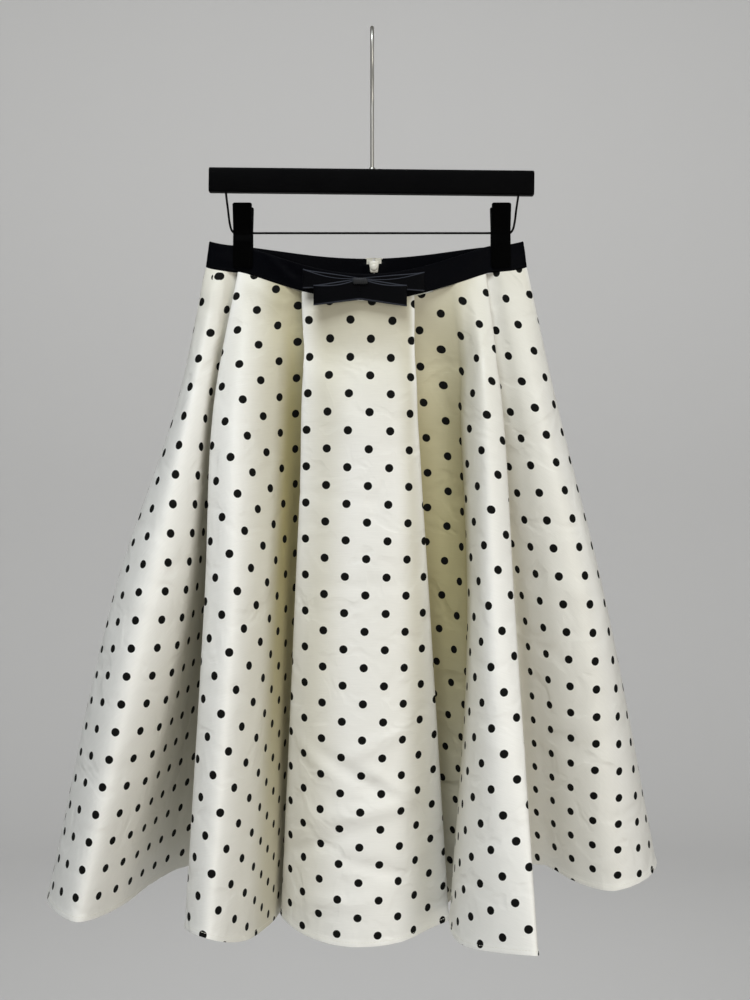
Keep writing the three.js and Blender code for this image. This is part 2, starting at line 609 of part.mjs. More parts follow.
function addHook() {
  const centreZ = HOOK_WIRE - HOOK_RADIUS;
  const arc = Array.from({ length: 9 }, (_, i) => {
    const angle = (Math.PI * i) / 8;
    return new THREE.Vector3(0, HOOK_RADIUS * Math.cos(angle), centreZ + HOOK_RADIUS * Math.sin(angle));
  });
  const points = [
    new THREE.Vector3(0, HOOK_RADIUS + 1, centreZ - 26),
    ...arc,
    new THREE.Vector3(0, -HOOK_RADIUS * 0.86, centreZ - 18),
    new THREE.Vector3(0, -HOOK_RADIUS * 0.36, centreZ - 33),
    new THREE.Vector3(0, 0, centreZ - 50),
    new THREE.Vector3(0, 0, centreZ - 70),
    new THREE.Vector3(0, 0, BAR.top + SEAM_GAP),
  ];
  addPiece('hanger_hook', rodGeometry(points, HOOK_WIRE, 4, 44), 'steel');
}

function addBar() {
  const hang = new THREE.Group();
  hang.position.set(0, 0, BAR.top);
  hang.rotation.y = THREE.MathUtils.degToRad(BAR.tilt);
  const round = 2;
  const half = BAR.depth / 2;
  const outline = new THREE.Shape();
  outline.moveTo(-half, -BAR.height);
  outline.lineTo(half, -BAR.height);
  outline.lineTo(half, -round);
  outline.absarc(half - round, -round, round, 0, Math.PI / 2);
  outline.lineTo(round - half, 0);
  outline.absarc(round - half, -round, round, Math.PI / 2, Math.PI);
  outline.closePath();
  const points = outline.getPoints(4).map((point) => [point.x, point.y]);
  const middle = (BAR.left + BAR.right) / 2;
  const bar = extrudedAlongX(points.slice(0, -1), middle, BAR.right - BAR.left);
  addPiece('hanger_bar', bar, 'hangerBlack', hang);
  part.add(hang);
}

// The wire under the bar: two legs and the rail that the clips slide on.
function addWire() {
  const legFoot = RAIL_Z + 10;
  const barUnder = BAR.top - BAR.height - SEAM_GAP;
  const drop = Math.tan(THREE.MathUtils.degToRad(BAR.tilt)) * LEG_TOP;
  const at = (x, z) => new THREE.Vector3(x, 0, z);
  const points = [
    at(-LEG_TOP, barUnder + drop - 0.2),
    at(-LEG_TOP + 2, (barUnder + legFoot) / 2),
    at(-LEG_TOP + 4, legFoot),
    at(-LEG_TOP + 6, RAIL_Z + 3),
    at(-RAIL_HALF, RAIL_Z),
    at(-RAIL_HALF + 3, RAIL_Z),
    at(0, RAIL_Z),
    at(RAIL_HALF - 3, RAIL_Z),
    at(RAIL_HALF, RAIL_Z),
    at(LEG_TOP - 6, RAIL_Z + 3),
    at(LEG_TOP - 4, legFoot),
    at(LEG_TOP - 2, (barUnder + legFoot) / 2),
    at(LEG_TOP, barUnder - drop - 0.2),
  ];
  addPiece('hanger_wire', rodGeometry(points, WIRE_RADIUS, 3, 48), 'hangerBlack');
}

// A clip: two jaws that grip the waistband, on a coil spring round the wire.
function addClip(side, x) {
  const reach = CLIP_WIDTH / 2;
  const bandFace = (bulge) => Math.max(waistDepth(x - reach, bulge), waistDepth(x + reach, bulge));
  const springRadius = 4;
  const waist = springRadius + SEAM_GAP;
  for (const [name, sign, bulge] of [['front', -1, FRONT_BULGE], ['back', 1, BACK_BULGE]]) {
    const grip = bandFace(bulge) + SEAM_GAP;
    const inner = [
      [CLIP_SPREAD, CLIP_TOP],
      [waist, RAIL_Z + 3],
      [waist, RAIL_Z - 3],
      [grip, RAIL_Z - 10],
      [grip, CLIP_BOTTOM],
    ];
    const outerSide = inner.map(([y, z]) => [y + CLIP_THICK, z]).reverse();
    const outline = [...inner, ...outerSide].map(([y, z]) => [sign * y, z]);
    const turned = sign < 0 ? outline.reverse() : outline;
    addPiece(`clip_${side}_${name}_jaw`, extrudedAlongX(turned, x, CLIP_WIDTH), 'clipBlack');
  }
  const bore = WIRE_RADIUS + SEAM_GAP;
  const halfLength = CLIP_WIDTH * 0.27;
  const profile = [
    [bore, -halfLength],
    [springRadius, -halfLength],
    [springRadius, halfLength],
    [bore, halfLength],
    [bore, -halfLength],
  ].map(([r, y]) => new THREE.Vector2(r, y));
  const spring = new THREE.LatheGeometry(profile, 12).rotateZ(-Math.PI / 2).translate(x, 0, RAIL_Z);
  addPiece(`clip_${side}_spring`, spring, 'steel');
}

// ---------------------------------------------------------------- assembly

addSkirt();
addWaistband();
addZip();
addBow();
addHook();
addBar();
addWire();
addClip('left', CLIP_X[0]);
addClip('right', CLIP_X[1]);

export default part;
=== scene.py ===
# %% [markdown]
# # A dotted satin skirt on its clip hanger
#
# The skirt is a flared, pleated tube of stiff ivory satin. Its narrow black waistband carries a flat
# ribbon bow, and a hanger holds the band by two clips. This lesson builds it as a maker would: the
# cloth first, then the band, the zip, the bow and the hanger. Each piece is a surface worked out with
# numpy, in metres, +Z up, with the front of the skirt towards -Y.

import bpy
import numpy as np
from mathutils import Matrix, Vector


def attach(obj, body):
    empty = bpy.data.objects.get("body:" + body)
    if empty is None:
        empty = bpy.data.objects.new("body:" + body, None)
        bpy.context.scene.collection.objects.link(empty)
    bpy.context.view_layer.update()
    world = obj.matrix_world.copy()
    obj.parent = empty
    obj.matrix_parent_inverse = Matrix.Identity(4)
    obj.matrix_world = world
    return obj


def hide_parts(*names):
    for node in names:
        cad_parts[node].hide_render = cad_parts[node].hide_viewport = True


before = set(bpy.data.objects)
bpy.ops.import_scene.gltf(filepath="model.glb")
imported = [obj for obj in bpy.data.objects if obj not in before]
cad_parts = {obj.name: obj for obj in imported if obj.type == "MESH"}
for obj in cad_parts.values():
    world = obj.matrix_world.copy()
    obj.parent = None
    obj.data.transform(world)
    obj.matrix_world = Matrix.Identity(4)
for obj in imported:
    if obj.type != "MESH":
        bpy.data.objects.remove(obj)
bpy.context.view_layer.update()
MM = 0.001

# %% [markdown]
# ## Grids of points become meshes
#
# Nearly every piece here is a grid of points: rows run down the piece and columns run to the right,
# seen from outside. One helper turns numpy arrays into a mesh, and two more join grids into a closed
# wall or a closed loop. Whole arrays go in at once, which is much quicker than adding points singly.

# %% Mesh helpers
def make_piece(name, points, quads, body="skirt", cloth_uv=None, crease=50):
    """A mesh object from points (n, 3) in metres and quads (m, 4), shaded smooth except at folds
    sharper than crease degrees. cloth_uv (n, 2) is each point's place on the flat cloth, in metres."""
    mesh = bpy.data.meshes.new(name)
    mesh.vertices.add(len(points))
    mesh.vertices.foreach_set("co", np.ascontiguousarray(points, dtype=np.float32).ravel())
    mesh.loops.add(quads.size)
    mesh.loops.foreach_set("vertex_index", quads.ravel().astype(np.int32))
    mesh.polygons.add(len(quads))
    mesh.polygons.foreach_set("loop_start", np.arange(0, quads.size, 4, dtype=np.int32))
    mesh.update(calc_edges=True)
    mesh.polygons.foreach_set("use_smooth", np.ones(len(quads), dtype=bool))
    mesh.set_sharp_from_angle(angle=np.radians(crease))
    if cloth_uv is not None:
        layer = mesh.uv_layers.new(name="cloth")
        layer.data.foreach_set("uv", cloth_uv[quads.ravel()].astype(np.float32).ravel())
    piece = bpy.data.objects.new(name, mesh)
    bpy.context.scene.collection.objects.link(piece)
    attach(piece, body)
    return piece


def grid_quads(rows, columns, first=0, wrap=False):
    """Quads of a grid whose point (r, c) has the number first + r * columns + c. They face out where
    rows run down and columns run right. wrap joins the last column to the first."""
    number = first + np.arange(rows * columns).reshape(rows, columns)
    right = np.roll(number, -1, axis=1)
    here, beside = (number, right) if wrap else (number[:, :-1], number[:, 1:])
    return np.stack([here[:-1], here[1:], beside[1:], beside[:-1]], axis=-1).reshape(-1, 4)


def wall(name, outer, inner, uv=None, **options):
    """A closed wall between an outer and an inner grid (rows, columns, 3): two faces and four rims."""
    rows, columns = outer.shape[:2]
    total = rows * columns
    out = np.arange(total).reshape(rows, columns)
    far = out + total
    faces = [grid_quads(rows, columns), grid_quads(rows, columns, total)[:, ::-1]]
    rims = [
        (out[:, 0], far[:, 0], True),
        (out[:, -1], far[:, -1], False),
        (out[0], far[0], False),
        (out[-1], far[-1], True),
    ]
    for near, away, flip in rims:
        rim = np.stack([near[:-1], near[1:], away[1:], away[:-1]], axis=-1)
        faces.append(rim[:, ::-1] if flip else rim)
    points = np.concatenate([outer.reshape(-1, 3), inner.reshape(-1, 3)])
    both = None if uv is None else np.concatenate([uv.reshape(-1, 2)] * 2)
    return make_piece(name, points, np.concatenate(faces), cloth_uv=both, **options)


def stacked(*parts):
    """Coordinates (..., number of parts) from arrays that are first spread out to one shape."""
    return np.stack(np.broadcast_arrays(*parts), axis=-1)


def unit(vectors):
    """Vectors (..., d) divided by their lengths."""
    return vectors / np.maximum(np.linalg.norm(vectors, axis=-1, keepdims=True), 1e-12)


def out_of(points):
    """Unit normals of a grid (rows, columns, 3): down the rows, crossed with right along the columns."""
    return unit(np.cross(np.gradient(points, axis=0), np.gradient(points, axis=1)))


# %% [markdown]
# ## One smooth curve through a few points
#
# A hanging fold, a bent wire and a ribbon loop are all smooth curves through a few known places. The
# centripetal Catmull-Rom curve passes through every point and doesn't overshoot where the points lie
# close together, as they do inside a pleat.

# %% Smooth curves
def smooth_through(points, steps, closed=False):
    """Centripetal Catmull-Rom curve through points (..., n, d), with steps places to each span. The
    slope at a point is a mean of its neighbours', weighted by the square roots of their distances."""
    points = np.asarray(points, dtype=float)
    if closed:
        before, after, beyond = (np.roll(points, shift, axis=-2) for shift in (1, -1, -2))
        start = points
    else:
        first = 2 * points[..., :1, :] - points[..., 1:2, :]
        last = 2 * points[..., -1:, :] - points[..., -2:-1, :]
        padded = np.concatenate([first, points, last], axis=-2)
        before, start, after, beyond = (padded[..., i:i + points.shape[-2] - 1, :] for i in range(4))

    def gap(a, b):
        """The square root of the distance from a to b."""
        return np.maximum(np.sqrt(np.linalg.norm(a - b, axis=-1, keepdims=True)), 1e-6)

    d0, d1, d2 = gap(before, start), gap(start, after), gap(after, beyond)
    leave = ((start - before) / d0 - (after - before) / (d0 + d1) + (after - start) / d1) * d1
    arrive = ((after - start) / d1 - (beyond - start) / (d1 + d2) + (beyond - after) / d2) * d1
    s = (np.arange(steps) / steps)[:, None]
    curve = (
        (2 * s**3 - 3 * s**2 + 1) * start[..., None, :] + (s**3 - 2 * s**2 + s) * leave[..., None, :]
        + (3 * s**2 - 2 * s**3) * after[..., None, :] + (s**3 - s**2) * arrive[..., None, :]
    )
    curve = curve.reshape(*points.shape[:-2], -1, points.shape[-1])
    return curve if closed else np.concatenate([curve, points[..., -1:, :]], axis=-2)


def smooth_step(s):
    """s^2 (3 - 2 s), which leaves 0 and reaches 1 with no slope."""
    return s * s * (3 - 2 * s)


def towards(angle):
    """Unit vectors (..., 2) in the directions of those angles."""
    return np.stack([np.cos(angle), np.sin(angle)], axis=-1)


def run_along(path):
    """Distance along a path (n, d) from its first point to each of its points."""
    return np.concatenate([[0], np.cumsum(np.linalg.norm(np.diff(path, axis=0), axis=-1))])


def read_along(at, place, values):
    """Values (n, d) that are known at n distances, place, read at the distances at."""
    return np.stack([np.interp(at, place, column) for column in values.T], axis=-1)


# %% [markdown]
# ## The skirt's folds
#
# A full skirt hangs in deep round folds. Each row of the tables is one line of the cloth that runs
# from the waistband to the hem: a crest, a pleat's edge, or the floor of a valley. It says where that
# line is at the waist, hip, thigh and hem, in millimetres. Cloth simulation could find such folds, but
# never these ones, so they are listed one by one, and a smooth curve joins them at every height.

# %% Fold tables
LEVELS = np.array([0, 0.2, 0.5, 1])
PER_FOLD = 8
CLOTH_LENGTH = 671
# name, layer in the pleat, x at waist, hip, thigh and hem, y at hip, thigh and hem, cloth length
FRONT_FOLDS = [
    ("left side", 0, (-173, -200, -263, -333.5), (-5, -10, -14), 676),
    ("tube 1 crest", 0, (-163, -184, -225, -294), (-30, -60, -68), 677),
    ("tube 1 shoulder", 0, (-153, -171, -192, -267), (-24, -34, -26), 671),
    ("valley 1 outer", 2, (-142, -163, -180, -241), (-8, 5, 48), 662),
    ("valley 1 floor", 2, (-128, -152, -172, -218), (4, 35, 102), 659),
    ("valley 1 root", 2, (-112, -140, -160, -192), (12, 62, 136), 660),
    ("valley 1 turn", 1, (-112, -137, -154, -178), (8, 60, 128), 662),
    ("tube 2 inner flank", 1, (-126, -148, -161, -171), (-5, 10, 50), 667),
    ("pleat 1 under", 1, (-138.7, -160, -166, -183.5), (-18, -34, -28), 671),
    ("pleat 1 edge", 0, (-139, -161, -169, -187.5), (-24, -44, -56), 671),
    ("tube 2 crest", 0, (-122, -137, -141, -162), (-38, -66, -86), 671),
    ("tube 2 shoulder", 0, (-92, -102, -112, -132), (-18, -40, -46), 669),
    ("valley 2 outer", 2, (-76, -84, -96, -112), (2, 0, 24), 669),
    ("valley 2 root", 2, (-45, -64, -80, -95), (14, 40, 98), 671),
    ("valley 2 turn", 1, (-45, -60, -75, -87), (10, 36, 95), 671),
    ("pleat 2 under", 1, (-71.7, -71, -79, -94), (-17, 9, 76), 671),
    ("pleat 2 edge", 0, (-72, -72, -81, -99), (-22, 2, 66), 671),
    ("centre left", 0, (-48, -48, -57, -73), (-28, -15, 28), 671),
    ("centre crest", 0, (-14, -16, -20, -27), (-32, -20, 5), 671),
    ("centre right", 0, (20, 22, 25, 26), (-30, -16, 12), 671),
    ("centre shoulder", 0, (36, 39, 47, 60), (-25, -6, 42), 671),
    ("pleat 3 edge", 0, (43, 48, 61, 83), (-18, 7, 64), 671),
    ("pleat 3 under", 1, (42.7, 47, 58, 79), (-13, 14, 76), 671),
    ("valley 3 turn", 1, (14, 32, 53, 70), (-2, 31, 102), 671),
    ("valley 3 root", 2, (14, 35, 58, 77), (3, 37, 108), 671),
    ("valley 3 floor", 2, (62, 75, 80, 87), (14, 26, 98), 669),
    ("valley 3 corner", 1, (80, 90, 99, 94), (-2, 4, 80), 669),
    ("tube 4 edge", 0, (88, 92, 98, 83), (-12, -19, 40), 671),
    ("tube 4 flank", 0, (95, 98, 103.5, 90), (-25, -43, -45), 677),
    ("tube 4 crest", 0, (104, 114, 119, 131), (-42, -65, -88), 682),
    ("pleat 4 edge", 0, (118, 132, 143, 161), (-33, -53, -100), 687),
    ("pleat 4 under", 1, (117.7, 131, 141, 160), (-27, -42, -78), 685),
    ("tube 4 inner flank", 1, (108, 123, 138, 159), (-6, 5, 30), 670),
    ("valley 4 turn", 1, (100, 119, 144, 160), (6, 42, 132), 664),
    ("valley 4 root", 2, (100, 124, 151, 173), (9, 46, 140), 664),
    ("valley 4 floor", 2, (119, 140, 164, 193), (-2, 24, 116), 662),
    ("tube 5 flank", 0, (134, 156, 188, 222), (-14, -2, 71), 667),
    ("tube 5 crest", 0, (148, 171, 213, 257), (-16, -8, 42), 670),
    ("tube 5 shoulder", 0, (157, 183, 231, 290), (-7, 2, 54), 669),
    ("right side", 0, (161, 191, 242, 314), (9, 30, 98), 670),
]
# name, layer in the pleat, x at the waist, and place in plan at the hem
BACK_FOLDS = [
    ("right back side", 0, 152, (309, 148)),
    ("tube 6 crest", 0, 128, (281, 170)),
    ("valley 5 floor", 1.5, 94, (260, 136)),
    ("valley 5 root", 2, 62, (241, 150)),
    ("valley 5 turn", 1, 62, (235, 160)),
    ("pleat 5 under", 1, 87.7, (230, 172)),
    ("pleat 5 edge", 0, 88, (226, 181)),
    ("tube 7 crest", 0, 74, (192, 194)),
    ("tube 7 shoulder", 0, 60, (158, 179)),
    ("valley 6 floor", 1.6, 49, (132, 122)),
    ("valley 6 root", 2, 22, (122, 96)),
    ("valley 6 turn", 1, 22, (112, 98)),
    ("pleat 6 under", 1, 45.7, (102, 128)),
    ("pleat 6 edge", 0, 46, (97, 146)),
    ("tube 8 crest", 0, 34, (62, 174)),
    ("centre back right", 0, 20, (29, 150)),
    ("centre back", 0, 2, (2, 132)),
    ("centre back left", 0, -16, (-26, 150)),
    ("tube 9 crest", 0, -34, (-62, 176)),
    ("pleat 7 edge", 0, -52, (-98, 147)),
    ("pleat 7 under", 1, -51.7, (-104, 136)),
    ("valley 7 turn", 1, -26, (-117, 104)),
    ("valley 7 root", 2, -26, (-127, 102)),
    ("valley 7 floor", 1.6, -55, (-140, 124)),
    ("tube 10 shoulder", 0, -70, (-164, 177)),
    ("tube 10 crest", 0, -84, (-205, 196)),
    ("pleat 8 edge", 0, -98, (-246, 182)),
    ("pleat 8 under", 1, -97.7, (-252, 172)),
    ("valley 8 turn", 1, -72, (-261, 156)),
    ("valley 8 root", 2, -72, (-270, 146)),
    ("valley 8 floor", 1.5, -106, (-290, 128)),
    ("tube 11 crest", 0, -132, (-318, 104)),
    ("left back side", 0, -160, (-338, 42)),
]
BACK_SPREAD = np.array([0, 0.2, 0.52, 1])
BACK_DEPTH = np.array([0, 0.16, 0.5, 1])
FOLDS = [row[0] for row in FRONT_FOLDS + BACK_FOLDS]
RIGHT_SEAM = FOLDS.index("right side")
CENTRE_BACK = FOLDS.index("centre back")
print(len(FRONT_FOLDS), "front folds,", len(BACK_FOLDS), "back folds")

# %% [markdown]
# ## The waist, held flat by the clips
#
# The clips pull the waist out to its full width, so its front and back nearly touch at the ends and
# stand open in the middle. The front of the band also sags between the clips. Both are simple curves,
# and the band, the bow and the top of the cloth all use them, so they stay together.

# %% The waist's two curves
WAIST_X, WAIST_HALF, WAIST_DEPTH = -6, 167, 5
FRONT_BULGE, BACK_BULGE, BULGE_HALF, END_ROUNDNESS = 25, 15, 122, 10
CLIP_HALF, SAG_SOFTNESS, SEAM_Z, END_RISE = 134, 1.4, -251, 5
FRONT_SAG, BACK_SAG = 33, 10
BAND_HEIGHT, BAND_THICK, BAND_TAPER = 27, 2, 0.978
PLEAT_STEP, SEAM_GAP = 3, 0.3


def waist_depth(x, bulge):
    """How far the waist stands off its middle plane at x: its least depth plus a soft bulge
    (1 - (x / half)^2)^1.5 between the clips, times round ends."""
    between = np.maximum(0, 1 - ((x - WAIST_X) / BULGE_HALF) ** 2)
    end = np.minimum(1, np.abs(x - WAIST_X) / WAIST_HALF)
    return (WAIST_DEPTH + bulge * between**1.5) * np.sqrt(1 - end**END_ROUNDNESS)


def seam_height(x, sag):
    """Height of the waist seam at x: level at the clips, with a sag (1 - span^2)^1.4 between them and
    a small rise beyond them."""
    span = np.abs(x - WAIST_X) / CLIP_HALF
    beyond = np.maximum(0, span - 1) / (WAIST_HALF / CLIP_HALF - 1)
    slack = np.maximum(0, 1 - span**2) ** SAG_SOFTNESS
    return SEAM_Z - sag * slack + END_RISE * np.minimum(1, beyond) ** 2


# %% [markdown]
# ## From fold lines to a hanging surface
#
# Between the four levels each fold line follows a cubic that keeps its slope. The height of a point
# isn't chosen: it comes from the cloth's own length. Where a line moves outwards, part of its length
# is used up sideways and it drops less, which is what makes a flared hem rise at its outer folds.

# %% The fold surface
def fold_lines():
    """Every fold's x and y at LEVELS (folds, 4), its cloth length and its sag, from the tables."""
    x, y, length, sag = [], [], [], []
    for _, layer, across, depth, cloth in FRONT_FOLDS:
        x.append(across)
        y.append((-waist_depth(across[0], FRONT_BULGE) + layer * PLEAT_STEP, *depth))
        length.append(cloth)
        sag.append(FRONT_SAG)
    for _, layer, waist, hem in BACK_FOLDS:
        top = waist_depth(waist, BACK_BULGE) - layer * PLEAT_STEP
        x.append(waist + (hem[0] - waist) * BACK_SPREAD)
        y.append(top + (hem[1] - top) * BACK_DEPTH)
        length.append(CLOTH_LENGTH)
        sag.append(BACK_SAG)
    return np.array(x), np.array(y), np.array(length, float), np.array(sag, float)


FOLD_X, FOLD_Y, FOLD_LENGTH, FOLD_SAG = fold_lines()


def at_share(values, share):
    """values (folds, 4) at LEVELS, carried to any shares of the length by a cubic on each span. The
    slope at a level is a mean of the slopes on both sides, weighted by the other side's length."""
    span = np.diff(LEVELS)
    slope = np.diff(values, axis=1) / span
    middle = (slope[:, :-1] * span[1:] + slope[:, 1:] * span[:-1]) / (span[:-1] + span[1:])
    tangent = np.concatenate([slope[:, :1], middle, slope[:, -1:]], axis=1)
    i = np.clip(np.searchsorted(LEVELS, share) - 1, 0, 2)
    s = (share - LEVELS[i]) / span[i]
    ease = smooth_step(s)
    return (
        values[:, i] * (1 - ease) + values[:, i + 1] * ease
        + tangent[:, i] * s * (1 - s) ** 2 * span[i] + tangent[:, i + 1] * s * s * (s - 1) * span[i]
    )


def hanging_cloth(share, per_fold):
    """The whole skirt as a grid (shares, folds * per_fold, 3) in millimetres. Each row is the closed
    plan curve at that share, and each drop is the root of cloth length squared less the move in plan
    squared."""
    plan = np.stack([at_share(FOLD_X, share).T, at_share(FOLD_Y, share).T], axis=-1)
    ring = smooth_through(plan, per_fold, closed=True)
    place = np.arange(ring.shape[1]) / per_fold
    cloth = np.interp(place, np.arange(len(FOLDS) + 1), np.append(FOLD_LENGTH, FOLD_LENGTH[0]))
    sag = FOLD_SAG[np.floor(place).astype(int)]
    top = seam_height(ring[0, :, 0], sag) - 1.5 * SEAM_GAP
    along = np.diff(share)[:, None] * cloth
    aside = np.linalg.norm(np.diff(ring, axis=0), axis=-1)
    drop = np.sqrt(np.maximum(along**2 - aside**2, (0.05 * along) ** 2))
    height = top - np.concatenate([np.zeros((1, ring.shape[1])), np.cumsum(drop, axis=0)])
    return np.dstack([ring, height])


# %% [markdown]
# ## The flat cloth under the folds
#
# The dots and the weave belong to the flat cloth, so every point needs its place on it. A flared panel
# is part of a ring: each narrow strip turns a little more than the one before, by what the hem is
# longer than the waist over the strip's length. Adding up the strips' widths along those directions
# lays the panel flat. What is left of shear is then shared out, so that a printed dot stays round.

# %% Laying the cloth flat
def settle(points, flat, rounds=240, keep=0.93, rate=0.1):
    """Lets the flat places slide until each is as far from its eight neighbours as it is in space. Every
    round adds rate times the missing length along each link, and a share keep of the last move."""
    low, high, whole = slice(None, -1), slice(1, None), slice(None)
    links = [((whole, high), (whole, low)), ((high, whole), (low, whole)),
             ((high, high), (low, low)), ((high, low), (low, high))]
    true = [np.linalg.norm(points[a] - points[b], axis=-1) for a, b in links]
    flat, speed = flat.copy(), np.zeros_like(flat)
    for _ in range(rounds):
        push = np.zeros_like(flat)
        for (a, b), length in zip(links, true):
            gap = flat[a] - flat[b]
            now = np.linalg.norm(gap, axis=-1)
            move = gap * ((length - now) / np.maximum(now, 1e-9))[..., None]
            push[a] += move
            push[b] -= move
        speed = keep * speed + rate * push
        flat += speed
    return flat


def lay_flat(points, straight):
    """Flat places (rows, columns, 2) of a grid of cloth in mm. Column straight hangs straight down. The
    others follow on both sides: a strip leaves its column at the angle that it makes in space, and the
    next column keeps its true length along a smooth direction, a cubic fitted down its strip."""
    rows, columns = points.shape[:2]
    down = unit(np.gradient(points, axis=0))
    length = np.linalg.norm(np.diff(points, axis=0), axis=-1)
    powers = np.linspace(-1, 1, rows)[:, None] ** np.arange(4)
    smooth = powers @ np.linalg.pinv(powers)
    flat = np.zeros((rows, columns, 2))
    flat[1:, straight, 1] = -np.cumsum(length[:, straight])
    for side, columns_ahead in ((1, range(straight, columns - 1)), (-1, range(straight, 0, -1))):
        heading = np.full(rows, -np.pi / 2)
        for column in columns_ahead:
            step = points[:, column + side] - points[:, column]
            width = np.linalg.norm(step, axis=-1)
            between = np.arccos(np.clip((down[:, column] * step).sum(axis=-1) / width, -1, 1))
            away = heading + side * between
            ahead = flat[:, column] + width[:, None] * towards(away)
            slope = np.gradient(ahead, axis=0)
            change = np.arctan2(slope[:, 1], slope[:, 0]) - heading
            heading = heading + smooth @ np.arctan2(np.sin(change), np.cos(change))
            middle = (heading[1:] + heading[:-1]) / 2
            run = length[:, column + side, None] * towards(middle)
            line = np.concatenate([np.zeros((1, 2)), np.cumsum(run, axis=0)])
            flat[:, column + side] = line + (ahead - line).mean(axis=0)
    return settle(points, flat)


# %% [markdown]
# ## Creases placed one by one
#
# Stiff satin keeps soft dents and ridges from folding and handling. Each row places one beside a fold:
# how far to its right and how far down, its direction, length and width, and how far it rises or
# sinks. The height follows a bell across the crease and fades at its ends, so light catches one side.

# %% Creases
def crease_height(across, along, length, width, depth):
    """A crease's height: depth times exp(-(across / width)^2) times exp(-(2 along / length)^4)."""
    return depth * np.exp(-(across / width) ** 2) * np.exp(-(2 * along / length) ** 4)


def press_creases(points, flat, names, creases):
    """Moves a grid (mm) along its normals by the sum of its creases, which lie on the flat cloth. Angles
    are in degrees from the fold's own direction, towards its right."""
    down_cloth = run_along(flat[:, 0])
    lift = np.zeros(points.shape[:2])
    for fold, aside, down, angle, length, width, depth in creases:
        column = names.index(fold) * PER_FOLD
        row = int(np.argmin(np.abs(down_cloth - down)))
        heading = np.arctan2(*(flat[row + 1, column] - flat[row - 1, column])[::-1])
        centre = flat[row, column] + aside * np.array([-np.sin(heading), np.cos(heading)])
        turn = heading + np.radians(angle)
        away = flat - centre
        along = away @ towards(turn)
        across = away @ np.array([-np.sin(turn), np.cos(turn)])
        lift += crease_height(across, along, length, width, depth)
    return points + lift[..., None] * out_of(points)


# fold, right of it, down, angle, length, width, depth
FRONT_CREASES = [
    ("centre crest", -2, 50, 90, 120, 27, -6.5),
    ("centre crest", -4, 118, 90, 110, 34, 1.6),
    ("centre left", 10, 96, 28, 90, 15, 1.5),
    ("centre right", 2, 150, -24, 150, 16, -1.4),
    ("tube 2 shoulder", 4, 34, 86, 60, 24, -4.0),
    ("tube 2 crest", 12, 16, 60, 46, 9, 1.2),
    ("tube 1 crest", 6, 30, 35, 60, 10, 1.0),
    ("tube 1 shoulder", -4, 40, 28, 60, 8, -0.9),
    ("valley 3 floor", 4, 60, 84, 90, 40, -4.0),
    ("tube 4 crest", 8, 80, 75, 50, 14, -0.9),
    ("centre crest", 26, 452, 118, 80, 7, 2.2),
    ("centre crest", -4, 478, 62, 90, 9, -2.6),
    ("centre crest", 40, 496, 62, 70, 7, 2.2),
    ("centre crest", 12, 528, 100, 120, 9, 2.3),
    ("centre crest", -34, 566, 112, 110, 8, -2.2),
    ("centre crest", 30, 588, 74, 80, 8, -2.0),
    ("centre crest", -36, 470, 50, 60, 8, 1.8),
    ("centre crest", -14, 626, 96, 80, 9, 1.6),
    ("centre crest", -20, 180, 86, 100, 6, -0.8),
    ("centre crest", 6, 272, 92, 110, 7, -0.8),
    ("tube 2 crest", 0, 300, 80, 60, 8, 0.7),
    ("tube 2 crest", 10, 420, 105, 60, 8, -0.7),
    ("tube 4 crest", 4, 470, 70, 60, 8, 0.8),
    ("tube 4 crest", -6, 560, 110, 60, 9, -0.8),
    ("tube 5 crest", 8, 330, 60, 90, 12, 1.0),
    ("tube 5 crest", 14, 500, 100, 80, 12, -1.0),
    ("tube 1 crest", 0, 330, 80, 70, 12, 0.9),
    ("tube 1 crest", 4, 520, 105, 70, 10, -0.9),
]
BACK_RIGHT_CREASES = [
    ("tube 7 crest", 0, 60, 88, 70, 24, -1.0),
    ("tube 7 crest", 6, 430, 70, 90, 10, 1.0),
    ("tube 8 crest", 0, 250, 95, 70, 9, -0.7),
    ("tube 6 crest", 0, 380, 60, 90, 12, 0.9),
]
BACK_LEFT_CREASES = [
    ("tube 9 crest", 0, 55, 92, 70, 24, -2.0),
    ("tube 9 crest", -6, 470, 110, 90, 10, 1.0),
    ("tube 10 crest", 0, 300, 85, 70, 9, -0.7),
    ("tube 11 crest", 0, 420, 60, 90, 12, 0.9),
]
